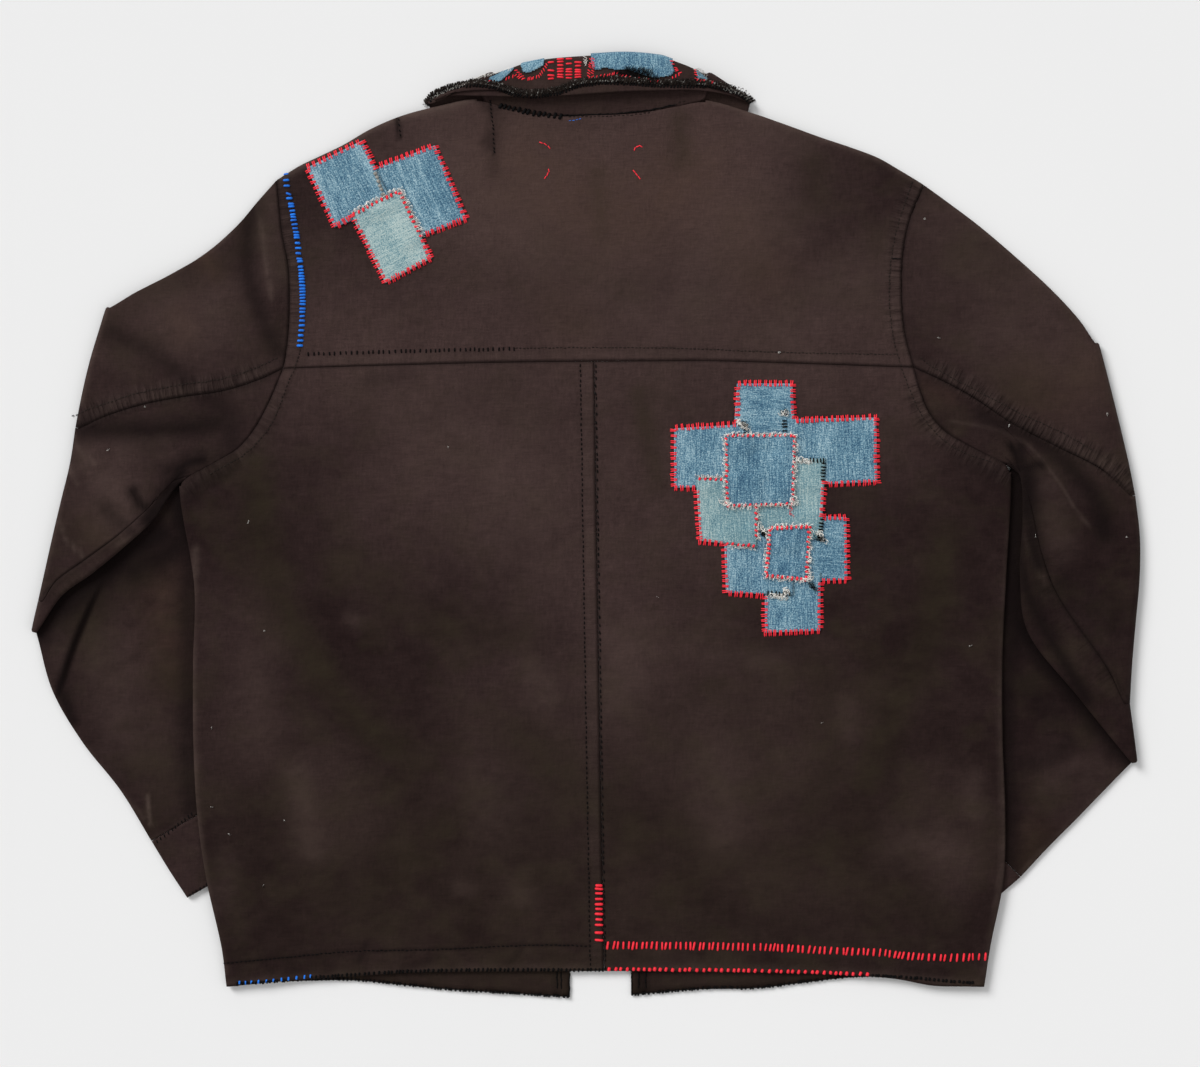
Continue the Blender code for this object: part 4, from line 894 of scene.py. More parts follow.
            (0.7, 10, 346, 300, 352, 286, 362, 268), (0.35, 22, 378, 300, 396, 290, 412, 282),
            (0.9, 7, 338, 420, 338, 380, 336, 335),
            (0.85, 6, 336, 335, 345, 300, 359, 271, 375, 244, 391, 218),
            (0.6, 7, 350, 310, 360, 304, 372, 312),
        ),
    },
    "right forearm": {
        "light": ((0.1, 60, 370, 150, 390, 160),),
        "warm": ((0.5, 16, 350, 110, 344, 92),),
        "pale": ((0.45, 24, 372, 148, 400, 160),),
        "green": ((0.5, 14, 352, 100, 345, 88),),
        # Painted highlight along the forearm's outer edge, together with wear
        "wear_and_highlight": ((0.4, 2.4, 430, 168, 398, 138, 374, 113, 352, 92, 338, 76),),
        # Painted shadow under the upper arm's folded edge and along the body's side, and painted shade in a
        # trough
        "dirt": (
            (1, 14, 336, 400, 334, 360, 330, 320, 334, 292),
            (1, 9, 334, 410, 334, 372, 332, 335, 340, 304, 356, 274, 374, 246, 392, 220, 410, 198),
            (1, 13, 330, 290, 345, 268, 362, 246, 382, 224, 402, 200, 420, 180, 428, 172),
            (0.85, 16, 330, 330, 328, 290, 334, 262),
            (0.75, 9, 329, 260, 328, 200, 329, 140, 330, 100, 328, 76),
            (0.5, 10, 340, 166, 360, 170, 378, 182), (0.5, 16, 334, 240, 350, 222, 366, 208),
        ),
    },
}
PAINTS = ("light", "warm", "green", "pale", "wear_and_highlight", "dirt")
PLAIN_LIGHT = 0.3  # how light a piece is that has no strokes of its own


def tone_at(points, strokes):
    """How strong a tone is at each point, from the strokes that paint it."""
    tone = np.zeros(points.shape[:2])
    for strength, width, *line in strokes:
        off = along_and_off(points, curve(line))[1]
        tone = np.maximum(tone, strength * bell(off / width))
    return tone


def seam_shade_and_dirt(points, part):
    """Painted shade in the seams' grooves and along their stitching, together with the dirt that gathers
    there.
    """
    tone = np.zeros(points.shape[:2])
    for line, side, width, height, *_ in SEAMS[part]:
        tone = np.maximum(tone, 0.6 * bell(along_and_off(points, line)[1] / 1.1))
        if height:
            stitched = along_and_off(points, curve_beside(line, side * width))[1]
            tone = np.maximum(tone, 0.2 * bell(stitched / 1.5))
    return tone


def seam_wear_and_highlight(points, part):
    """The pale wear and painted highlight that stand out on a raised seam, more on its ridges."""
    tone = np.zeros(points.shape[:2])
    for line, side, width, height, *_ in SEAMS[part]:
        if height:
            off = along_and_off(points, line)[1] * side
            on_seam = soft_step(0.5, 3.0, off) * (1 - soft_step(width - 2, width + 1, off))
            tone = np.maximum(tone, 0.12 * on_seam)
    return tone


NO_SEAM = 60.0  # how far off its nearest seam a point counts as at most
SEAM_START = 700  # each seam's ripples start this much further along their pattern


def seam_fields(points, places):
    """How far along and off its nearest topstitched seam each point is, and how hard that seam pulls."""
    nearest, second = (np.full(points.shape[:2], NO_SEAM) for _ in range(2))
    along_seam, off_seam, pulled = (np.full_like(nearest, start) for start in (0, NO_SEAM, 0))
    for place, where in places:
        for number, (line, side, *_, pull) in enumerate(SEAMS[place]):
            along, off, _ = along_and_off(points, line)
            away = np.where(np.ones_like(nearest) * where > 0, np.abs(off), NO_SEAM)
            nearer = away < nearest
            second = np.where(nearer, nearest, np.minimum(second, away))
            nearest = np.minimum(nearest, away)
            along_seam[nearer] = along[nearer] + SEAM_START * number
            off_seam[nearer] = (off * side)[nearer]
            pulled[nearer] = pull
    pulled *= soft_step(3.0, 12.0, second - nearest)
    return {"seam along": along_seam, "seam off": off_seam, "seam pull": pulled}


def tones_of(part, points, rows):
    """Every tone at every point of a part's sheet."""
    zero = np.zeros(points.shape[:2])
    if part is None:
        return {**{paint: zero for paint in PAINTS}, **seam_fields(points, ()), "light": zero + PLAIN_LIGHT}
    if part == "yoke" or part.startswith("back"):
        places = (("body", 1.0),)
    elif part.startswith("front"):
        places = (("front", 1.0),)
    else:
        side = part.split()[1]
        on_arm, on_forearm = rows <= LAST_ARM_ROW + 1, rows >= FIRST_FOREARM_ROW - 1
        places = ((f"{side} arm", on_arm[:, None]), (f"{side} forearm", on_forearm[:, None]))
    tones = {paint: zero for paint in PAINTS}
    for place, where in places:
        for paint in PAINTS:
            tone = tone_at(points, TONES[place].get(paint, ()))
            tones[paint] = np.maximum(tones[paint], tone * where)
        tones["dirt"] = np.maximum(tones["dirt"], seam_shade_and_dirt(points, place) * where)
        tones["wear_and_highlight"] = np.maximum(tones["wear_and_highlight"], seam_wear_and_highlight(points, place) * where)
    return {**tones, **seam_fields(points, places)}


# Making the objects

made = {}


def finish_piece(piece, *nodes, slot=None):
    """A finished piece rides on the garment, and stands for its plain solids."""
    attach(piece, "root")
    if nodes:
        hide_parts(*nodes)
    made[piece.name] = piece
    return piece


def inside(points, outline):
    """Whether each point is inside an outline."""
    within = np.full(points.shape[:2], False)
    x, y = points[..., 0], points[..., 1]
    for (x0, y0), (x1, y1) in zip(outline, outline[1:] + outline[:1]):
        if y0 != y1:
            within ^= ((y0 > y) != (y1 > y)) & (x < (x1 - x0) * (y - y0) / (y1 - y0) + x0)
    return within


def new_mesh(tones):
    """An empty mesh with the cloth's own map, and a layer of its points for each tone."""
    mesh = bmesh.new()
    uv = mesh.loops.layers.uv.new("cloth")
    return mesh, uv, {tone: mesh.verts.layers.float.new(tone) for tone in tones}


def sheet(
    name, rows, finish, step, part=None, keep=None, cut=None, ring=False, thickness=CLOTH,
    settle=None, tones=None,
):
    """A named piece of cloth through rows of points, in from its seams by half the gap.

    It keeps the cells that keep(row, column) is true for and that lie inside the cut's outline, and it may
    close into a ring. A part of the garment has its relief and tones; settle and tones give a piece others.
    """
    net = np.array([[tuple(p) for p in row] for row in rows])
    points, down, across, row_cells, column_cells = finer(net, step, ring)
    outward, turned = facing(points, part in ("front left", "front right"))
    if settle:
        points = settle(points)
    coarse = np.array([*row_cells, len(net) - 1])
    tones = tones(points) if tones else tones_of(part, points, coarse)
    if part:
        points[..., 2] += relief_at(part, points, soft_step(0.25, 0.9, outward[..., 2]), coarse)
    left_in = inside(points, cut) if cut else np.full(points.shape[:2], True)
    mesh, uv, layers = new_mesh(tones)
    shift = Vector((CENTRE.x, CENTRE.y, 0))
    grid = [[mesh.verts.new((Vector(p) - shift) * MM) for p in row] for row in points]
    for tone, layer in layers.items():
        for row, values in zip(grid, tones[tone]):
            for vert, value in zip(row, values):
                vert[layer] = float(value)
    if ring:
        for row in grid:
            mesh.verts.remove(row[-1])
            row[-1] = row[0]
    for i, row_cell in enumerate(row_cells):
        for j, column_cell in enumerate(column_cells):
            if left_in[i, j] and (keep is None or keep(row_cell, column_cell)):
                corners = [(i, j), (i, j + 1), (i + 1, j + 1), (i + 1, j)]
                corners = corners[::-1] if turned else corners
                face = mesh.faces.new([grid[a][b] for a, b in corners])
                face.smooth = True
                for loop, (a, b) in zip(face.loops, corners):
                    loop[uv].uv = (across[b] * MM, down[a] * MM)
    loose = [v for v in mesh.verts if not v.link_faces]
    bmesh.ops.delete(mesh, geom=loose, context="VERTS")
    rim = bmesh.ops.inset_region(
        mesh, faces=mesh.faces, use_boundary=True, use_even_offset=True, thickness=SEAM_GAP / 2 * MM
    )
    bmesh.ops.delete(mesh, geom=rim["faces"], context="FACES")
    data = bpy.data.meshes.new(name + "_cloth")
    mesh.to_mesh(data)
    mesh.free()
    data.materials.append(finishes[finish])
    piece = bpy.data.objects.new(name + "_cloth", data)
    bpy.context.scene.collection.objects.link(piece)
    wall = piece.modifiers.new("Cloth", "SOLIDIFY")
    wall.thickness = thickness * MM
    wall.offset = 0
    wall.use_quality_normals = True
    finish_piece(piece, name, slot=finish.split(",")[0].replace(" ", "_"))
    return piece


def half_round(upper, lower, outward, steps=ROUND_STEPS):
    """The points between two layers where the cloth turns over at an edge."""
    centre = (upper + lower) / 2
    radius = (upper - lower).length / 2
    up = (upper - lower).normalized()
    turns = [math.pi * k / steps for k in range(1, steps)]
    return [centre + up * radius * math.cos(t) + outward * radius * math.sin(t) for t in turns]


def inward(points, distance):
    """A row's two ends, brought in along the row by the room that their rounds need."""
    row = [Vector(p) for p in points]
    first = (row[1] - row[0]).normalized() * distance
    last = (row[-2] - row[-1]).normalized() * distance
    row[0], row[-1] = row[0] + first, row[-1] + last
    return row


# Sleeves


def columns_along(line, cuts, bounds):
    """Points along a line, in stretches that end at the given shares and have the given columns."""
    at = route(line)
    marks = [0.0, *cuts, 1.0]
    shares = [0.0]
    for low, high, first, last in zip(marks, marks[1:], bounds, bounds[1:]):
        shares += [lerp(low, high, (k + 1) / (last - first)) for k in range(last - first)]
    return [at(share) for share in shares]


def arm_plan(sleeve):
    """The upper arm's points seen from above, a row for each section from the armhole to the fold."""
    armhole = [Vector(p) for p in sleeve["armhole"]]
    last_column = len(armhole) - 1
    fold_columns = (0, YOKE_POINT, UNDER_SEAM_POINT, last_column)
    fold = columns_along(sleeve["fold"], sleeve["fold_shares"], fold_columns)
    bounds = (0, YOKE_POINT, MIDDLE_POINT, UNDER_SEAM_POINT, last_column)
    shares = [0.0, *(section[0] for section in sleeve["sections"]), 1.0]
    guides = []
    for n, bound in enumerate(bounds):
        inner = [Vector(section[1 + 2 * n : 3 + 2 * n]) for section in sleeve["sections"]]
        guides.append([armhole[bound], *inner, fold[bound]])
    rows = [[] for _ in shares]
    for n, (low, high) in enumerate(zip(bounds, bounds[1:])):
        start, end = armhole[low : high + 1], fold[low : high + 1]
        strip = fill(start, end, guides[n], guides[n + 1], shares, fade=ARMHOLE_FADE)
        for row, part in zip(rows, strip):
            row += part[1:] if row else part
    return rows


def tube_plan(start, hidden, seen, shares):
    """Rows of points from a given first row along two edges, for the forearm and the cuff."""
    across = shares_of(start)
    first, last = route(hidden), route(seen)
    end = [lerp(first(1), last(1), v) for v in across]
    return fill(start, end, [first(s) for s in shares], [last(s) for s in shares], shares)


def ring(row, seen_heights, under_heights):
    """One section of a sleeve: its seen layer, the lower edge, its other layer and the top edge."""
    room = (seen_heights[0] - under_heights[0]) / 2
    plan = inward(row, abs(room) + CLOTH / 2)
    seen = [at_height(p, z) for p, z in zip(plan, seen_heights)]
    under = [at_height(p, z) for p, z in zip(plan, under_heights)]
    low_way = at_height(plan[-1] - plan[-2], 0).normalized()
    top_way = at_height(plan[0] - plan[1], 0).normalized()
    lower_edge = half_round(seen[-1], under[-1], low_way)
    top_edge = half_round(under[0], seen[0], top_way)
    return seen + lower_edge + under[::-1] + top_edge


def arm_section(row, lift):
    """A section of the upper arm, whose back is its upper layer."""
    stand = [lerp(lift[0], lift[1], v) for v in shares_of(row)]
    seen = [back_height(p) + z for p, z in zip(row, stand)]
    under = [front_height(p) + z * UNDER_LIFT for p, z in zip(row, stand)]
    return ring(row, seen, under)


def forearm_section(row):
    """A section of the forearm, whose back lies on the table."""
    return ring(row, [FLOOR_LAYER] * len(row), [FLOOR_LAYER + LAYER] * len(row))


def turn_under(upper, lower, outward):
    """The sections between the upper arm's last one and the forearm's first one, round the fold."""
    sections = []
    for k in range(1, ROUND_STEPS + 1):
        turn = math.pi * k / (ROUND_STEPS + 1)
        section = []
        for a, b, way in zip(upper, lower, outward):
            middle, radius = (a + b) / 2, (a.z - b.z) / 2
            place = middle + way * radius * math.sin(turn)
            place.z = middle.z + radius * math.cos(turn)
            section.append(place)
        sections.append(section)
    return sections


def outward_ways(section, size):
    """The way out of the fold, level, at each point of a section."""
    count = len(section)
    first, last = section[0], section[size - 1]
    along = at_height(last - first, 0).normalized()
    way = Vector((along.y, -along.x, 0))
    if way.x * (first.x - CENTRE.x) < 0:
        way = -way
    return [way] * count


def sleeve_sections(sleeve):
    """All the sections of a sleeve from the armhole to the cuff seam, and of its cuff."""
    plan = arm_plan(sleeve)
    back_in = (LAYER * 3 + LOFT + FOLD_ROOM) / 2 + CLOTH / 2
    size = len(plan[0])
    flat = [at_height(p, 0) for p in plan[-1]]
    way = outward_ways(flat, size)[0]
    settle = Vector((way.x, way.y)) * back_in
    fold = [p - settle for p in plan[-1]]
    plan[-1] = fold
    lifts = [(0.0, 0.0), *(section[-2:] for section in sleeve["sections"]), sleeve["fold_lift"]]
    upper = [arm_section(row, lift) for row, lift in zip(plan, lifts)]
    hidden = [p if k else fold[0] for k, p in enumerate(sleeve["forearm_hidden"])]
    seen = [p if k else fold[-1] for k, p in enumerate(sleeve["forearm_seen"])]
    forearm_plan = tube_plan(fold, hidden, seen, FOREARM_ROWS)
    forearm = [forearm_section(row) for row in forearm_plan]
    turned = turn_under(upper[-1], forearm[0], outward_ways(upper[-1], size))
    cuff_plan = tube_plan(forearm_plan[-1], sleeve["cuff_hidden"], sleeve["cuff_seen"], (0.0, 0.5, 1.0))
    cuff = [forearm_section(row) for row in cuff_plan]
    return upper + turned + forearm, cuff


def make_sleeve(side, sleeve):
    sections, cuff = sleeve_sections(sleeve)
    size = len(sections[0])
    under = [section[YOKE_POINT : UNDER_SEAM_POINT + 1] for section in sections]
    round_the_top = range(UNDER_SEAM_POINT, size + YOKE_POINT + 1)
    upper = [[section[k % size] for k in round_the_top] for section in sections]
    sheet(f"sleeve_{side}_under", under, "moleskin", step=SLEEVE_UNDER_STEP, part=f"sleeve {side}")
    sheet(f"sleeve_{side}_top", upper, "moleskin", step=SLEEVE_STEP, part=f"sleeve {side}")
    sheet(f"cuff_{side}", cuff, "moleskin", ring=True, step=SLEEVE_STEP)


# Body

ROUND_ROOM = (LAYER + LOFT) / 2 + CLOTH / 2  # what a half-round edge adds beyond the flat cloth


def turned_edge(points, outward):
    """The points that take each column round an edge to the lower layer and on to its seam."""
    columns = []
    for point, way in zip(points, outward):
        upper = at_height(point, back_height(point))
        lower = at_height(point, front_height(point))
        seam = point - Vector(way[:2]) * SIDE_TAB
        column = half_round(upper, lower, way) + [lower, at_height(seam, front_height(seam))]
        columns.append(column)
    return columns


def side_line(side):
    """The body's side from the hem up to the underarm, in from the edge by the room of its round."""
    column = 1 if side == "left" else 2
    sign = -1 if side == "left" else 1
    low, high = SIDES[0][0], SIDES[-1][0] + (0.0 if side == "left" else RIGHT_SIDE_TALLER)
    line = []
    for share in SIDE_SHARES:
        y = lerp(low, high, share)
        line.append(Vector((table(SIDES, y, column) - sign * ROUND_ROOM, y)))
    return line


def outer_line(side, armhole):
    """A back's outer edge: its side, then the armhole up to the yoke seam."""
    line = side_line(side)
    return line + [Vector(p) for p in armhole[UNDER_SEAM_POINT : YOKE_POINT - 1 : -1]]


def make_back(side, armhole):
    sign = -1 if side == "left" else 1
    outer = outer_line(side, armhole)
    side_count = len(SIDE_SHARES)
    centre = route(CENTRE_BACK)
    low, high = CENTRE_BACK[0][1], CENTRE_BACK[-1][1]
    heights = [p.y for p in outer]
    middle = [centre((y - heights[0]) / (heights[-1] - heights[0]) * (high - low) / high) for y in heights]
    bottom = [Vector((x, table(BACK_HEM, x, 1))) for x in (lerp(outer[0].x, middle[0].x, u) for u in ACROSS)]
    top = [Vector((x, table(YOKE_SEAM, x, 1))) for x in (lerp(outer[-1].x, middle[-1].x, u) for u in ACROSS)]
    outer[0], middle[0] = bottom[0], bottom[-1]
    outer[-1], middle[-1] = top[0], top[-1]
    along = shares_of(middle)
    rows = [[at_height(p, back_height(p)) for p in row] for row in fill(bottom, top, outer, middle, along)]
    way = Vector((sign, 0, 0))
    turned = turned_edge(outer, [way] * len(outer))
    tab = len(turned[0])
    rows = [turn[::-1] + row for turn, row in zip(turned, rows)]

    def keep(i, j):
        return j >= tab or i < side_count - 1

    sheet(f"back_{side}", rows, "moleskin", keep=keep, step=BACK_STEP, part=f"back {side}")


def shoulder_ways(armhole):
    """The way out over the shoulder at each of its points: along the armhole at its end."""
    along_armhole = (Vector(armhole[0]) - Vector(armhole[1])).normalized()
    return [along_armhole] + [Vector((0, 1))] * (len(ACROSS) - 1)


def shoulder_columns(line, armhole, distance):
    """A shoulder's points, in from its edge by a distance."""
    at = route(line)
    ways = shoulder_ways(armhole)
    return [at(share) - way * distance for share, way in zip(ACROSS, ways)]


def make_yoke():
    left = shoulder_columns(SHOULDER_LEFT, ARMHOLE_LEFT, ROUND_ROOM)
    right = shoulder_columns(SHOULDER_RIGHT, ARMHOLE_RIGHT, ROUND_ROOM)
    neck = route(NECK_BACK)
    top = left + [neck(k / NECK_STEPS) for k in range(1, NECK_STEPS)] + right[::-1]
    shares = shares_of(top)
    bottom = [Vector((lerp(YOKE_SEAM[0][0], YOKE_SEAM[-1][0], s), 0)) for s in shares]
    for p in bottom:
        p.y = table(YOKE_SEAM, p.x, 1)
    first = [Vector(p) for p in ARMHOLE_LEFT[YOKE_POINT::-1]]
    last = [Vector(p) for p in ARMHOLE_RIGHT[YOKE_POINT::-1]]
    first[-1], last[-1] = top[0], top[-1]
    along = [lerp(a, b, 0.5) for a, b in zip(shares_of(first), shares_of(last))]
    rows = [[at_height(p, back_height(p)) for p in row] for row in fill(bottom, top, first, last, along)]
    ways = [Vector((0, 1))] * len(top)
    ways[0] = shoulder_ways(ARMHOLE_LEFT)[0]
    ways[-1] = shoulder_ways(ARMHOLE_RIGHT)[0]
    turned = turned_edge(top, [at_height(way, 0) for way in ways])
    rows += [list(row) for row in zip(*turned)]
    flat_rows, seam = len(first) - 1, len(ACROSS) - 1
    neck_end = len(top) - 1 - seam

    def keep(i, j):
        return i < flat_rows or j < seam or j >= neck_end

    sheet("yoke", rows, "moleskin", keep=keep, step=BACK_STEP, part="yoke")


def make_front(side, armhole, shoulder, hem, neck):
    sign = -1 if side == "left" else 1
    outer = [p - Vector((sign * SIDE_TAB, 0)) for p in side_line(side)]
    outer += [Vector(p) for p in armhole[UNDER_SEAM_POINT:0:-1]]
    top = shoulder_columns(shoulder, armhole, ROUND_ROOM + SIDE_TAB)
    outer.append(top[0])
    opening_x = hem[-1][0]
    neck_rows = len(neck) - 1
    heights = [p.y for p in outer[: len(outer) - neck_rows]]
    stretch = (neck[0][1] - hem[-1][1]) / (heights[-1] - heights[0])
    inner = [Vector((opening_x, hem[-1][1] + (y - heights[0]) * stretch)) for y in heights]
    inner += [Vector(p) for p in neck[1:]]
    inner[-1] = top[-1]
    bottom_x = [lerp(outer[0].x, opening_x, u) for u in ACROSS]
    bottom = [Vector((x, table(hem, x, 1))) for x in bottom_x]
    outer[0], inner[0] = bottom[0], bottom[-1]
    along = [lerp(a, b, 0.5) for a, b in zip(shares_of(outer), shares_of(inner))]
    rows = [[at_height(p, front_height(p)) for p in row] for row in fill(bottom, top, outer, inner, along)]
    sheet(f"front_{side}", rows, "moleskin", step=FRONT_STEP, part=f"front {side}")


# Collar


def collar_section(row, beyond):
    """A section of the collar: the stand, the roll and the leaf, for the layer this far outside."""
    neck, roll, edge = Vector(row[0:2]), Vector(row[2:4]), Vector(row[4:6])
    turn, off = math.radians(row[6]), row[7]
    across = (edge - roll).normalized()
    out = Vector((-across.y, across.x)) if across.x > 0 else Vector((across.y, -across.x))
    face = Vector((out.x * math.sin(turn), out.y * math.sin(turn), math.cos(turn)))
    base = lerp(back_height(neck), front_height(neck), (1 - math.cos(turn)) / 2)
    around = Vector((face.x, face.y, 0)) * (LAYER + LOFT) / 2
    lying = 0.0 if row[6] == 180 else min(1.0, row[6] / COLLAR_LYING)
    foot = lerp((neck + edge) / 2, edge, lying)
    away = (roll - foot).normalized()
    away = Vector((away.x, away.y, 0))
    neck, roll, edge = (at_height(p, base) + around for p in (neck, roll, edge))
    middle = roll + face * COLLAR_ROLL - away * (COLLAR_ROLL + COLLAR_EASE * LAYER)
    radius = COLLAR_ROLL + beyond
    reach = COLLAR_ROLL + COLLAR_EASE * beyond

    def round_at(angle):
        angle = math.radians(angle)
        return middle + away * reach * math.sin(angle) - face * radius * math.cos(angle)

    start, end = neck - face * beyond, round_at(0)
    inner = [lerp(start, end, s) for s in (0.0, 0.5, 1.0)]
    if row[6] <= COLLAR_NECK_TURN:
        inner[0] = start - away * COLLAR_TURNED_IN - face * COLLAR_TUCKED_DOWN
    inner += [round_at(angle) for angle in COLLAR_ROUND]
    top = round_at(180)
    tip = edge + face * (2 * COLLAR_ROLL + beyond)
    back = [lerp(top, tip, s) + face * off * s**1.5 for s in (0.0, 0.5, 1.0)]
    return inner + back


def top_collar_section(row, above=0.0):
    """The top collar's section, whose free edge is drawn back, or a layer this far above it."""
    section = collar_section(row, LAYER + above)
    shorter = np.interp(row[4], *zip(*COLLAR_TOP_EDGE))
    share = shorter / (section[-1] - section[-2]).length
    section[-1] = lerp(section[-1], section[-2], min(COLLAR_MOST_SHORT, share))
    return section


def in_top_collar(i, j):
    """Whether the top collar has a cell: its stand is only behind the neck, where the leaf covers it."""
    return j >= COLLAR_STAND_CELLS or COLLAR[i][6] == COLLAR[i + 1][6] == 0


def in_under_collar(i, j):
    """Whether the undercollar has a cell: its roll is left out inside the top collar's at the two ends."""
    at_tip = any(COLLAR_NECK_TURN < row[6] < 180 for row in COLLAR[i : i + 2])
    return not at_tip or j == 0 or j >= COLLAR_LEAF_CELL


def make_collar():
    under = [collar_section(row, 0.0) for row in COLLAR]
    top = [top_collar_section(row) for row in COLLAR]
    sheet("collar_under", under, "collar cloth", keep=in_under_collar, step=COLLAR_STEP)
    sheet("collar_top", top, "collar cloth", keep=in_top_collar, step=COLLAR_STEP)


# Finishes

GREY = (0.16, 0.16, 0.16)
WHITE = (1, 1, 1)
GAIN = (1.46, 1.46, 1.46)  # makes up for what the weave's own shade takes away
# What each painted tone lays over the moleskin: the tone, its colour, and how far it covers at most. The
# warm tone is a stain; the green tone darkens to olive, in blotches and along the troughs of many creases;
# the pale tone is pale blotches together with painted light on some lit slopes; the last is wear together
# with painted highlights on crests, rolled edges and raised seams.
TONE_COLOURS = (
    ("warm", (0.06, 0.034, 0.022), 0.4), ("green", (0.02, 0.015, 0.008), 0.6),
    ("pale", (0.072, 0.047, 0.04), 0.45), ("wear_and_highlight", (0.105, 0.073, 0.061), 0.55),
)
OLIVE = (0.034, 0.026, 0.0145)
# Painted shade between the ripples of a seam, and painted highlight on their tops
SHADE = (0.006, 0.003, 0.003)  # between the ripples of a seam
RIPPLE_HIGHLIGHT = (0.10, 0.070, 0.060)  # on top of them
# Painted shade in folds, valleys and seams, with some dirt
SHADE_AND_DIRT_COLOUR = (0.004, 0.002, 0.002)
# The colour that the shade-and-dirt tone darkens denim to; every patch has that tone at 0
DENIM_SHADE_AND_DIRT = (0.012, 0.018, 0.026)


class Finish:
    """A material that is built up from nodes."""

    def __init__(self, name):
        self.material = bpy.data.materials.new(name)
        self.material.use_nodes = True
        self.tree = self.material.node_tree
        self.shader = self.tree.nodes["Principled BSDF"]

    def give(self, socket, value):
        """Sets what a socket takes, or links it to a node's result."""
        if isinstance(value, bpy.types.NodeSocket):
            self.tree.links.new(value, socket)
        else:
            socket.default_value = (*value, 1) if socket.type == "RGBA" else value

    def put(self, kind, result, inputs=None, **settings):
        """Adds a node with its settings and inputs, and returns one of its results."""
        node = self.tree.nodes.new(kind)
        for key, value in settings.items():
            setattr(node, key, value)
        for key, value in (inputs or {}).items():
            self.give(node.inputs[key], value)
        return node.outputs[result]

    def place(self, stretch=(1, 1, 1), turn=0.0, uv=False):
        """Where a pattern is: on the object, or on the cloth's own threads."""
        if uv:
            source = self.put("ShaderNodeUVMap", "UV", uv_map="cloth")
        else:
            source = self.put("ShaderNodeTexCoord", "Object")
        inputs = {"Vector": source, "Scale": stretch, "Rotation": (0, 0, turn)}
        return self.put("ShaderNodeMapping", "Vector", inputs)

    def noise(self, place, scale=1.0, detail=3.0, roughness=0.55):
        inputs = {"Vector": place, "Scale": scale, "Detail": detail, "Roughness": roughness}
        return self.put("ShaderNodeTexNoise", "Fac", inputs)

    def painted(self, name):
        """A tone that is painted on the cloth's points."""
        return self.put("ShaderNodeAttribute", "Fac", attribute_name=name)

    def remap(self, value, low, high, to_low=0.0, to_high=1.0):
        inputs = {"Value": value, "From Min": low, "From Max": high, "To Min": to_low, "To Max": to_high}
        return self.put("ShaderNodeMapRange", "Result", inputs)

    def swing(self, value, most, low=0.3, high=0.7):
        """A pattern as something to add: it takes away as much as it adds."""
        return self.remap(value, low, high, -most, most)

    def blend(self, share, a, b, how="MIX"):
        """Two colours mixed by a share."""
        return self.put("ShaderNodeMix", 2, {0: share, 6: a, 7: b}, data_type="RGBA", blend_type=how)

    def sums(self, how, a, b):
        return self.put("ShaderNodeMath", 0, {0: a, 1: b}, operation=how)

    def times(self, a, b):
        return self.sums("MULTIPLY", a, b)

    def plus(self, *parts):
        total = parts[0]
        for part in parts[1:]:
            total = self.sums("ADD", total, part)
        return total

    def rest(self, share):
        return self.sums("SUBTRACT", 1.0, share)

    def finished(self, colour, bumps, **settings):
        """The material in its colour, with its settings and its bumps, whose heights are in millimetres."""
        self.give(self.shader.inputs["Base Color"], colour)
        for name, value in settings.items():
            self.shader.inputs[name.replace("_", " ")].default_value = value
        normal = {}
        for height, value in bumps:
            inputs = {"Height": value, "Distance": height * MM, "Strength": 1.0, **normal}
            normal = {"Normal": self.put("ShaderNodeBump", "Normal", inputs)}
        for name, value in normal.items():
            self.give(self.shader.inputs[name], value)
        return self.material


def seam_ripples(look):
    """The short ripples that cross a topstitched seam, from how far along and off the seam a point is."""
    off = look.painted("seam off")
    inputs = {"X": look.times(look.painted("seam along"), 0.27), "Y": look.times(off, 0.035)}
    place = look.put("ShaderNodeCombineXYZ", "Vector", inputs)
    ripple = look.remap(look.noise(place, 1.0, 2.0, 0.6), 0.32, 0.68)
    near = look.times(look.remap(off, -5.0, 0.5), look.remap(off, 9.0, 18.0, 1.0, 0.0))
    return ripple, look.times(near, look.painted("seam pull"))


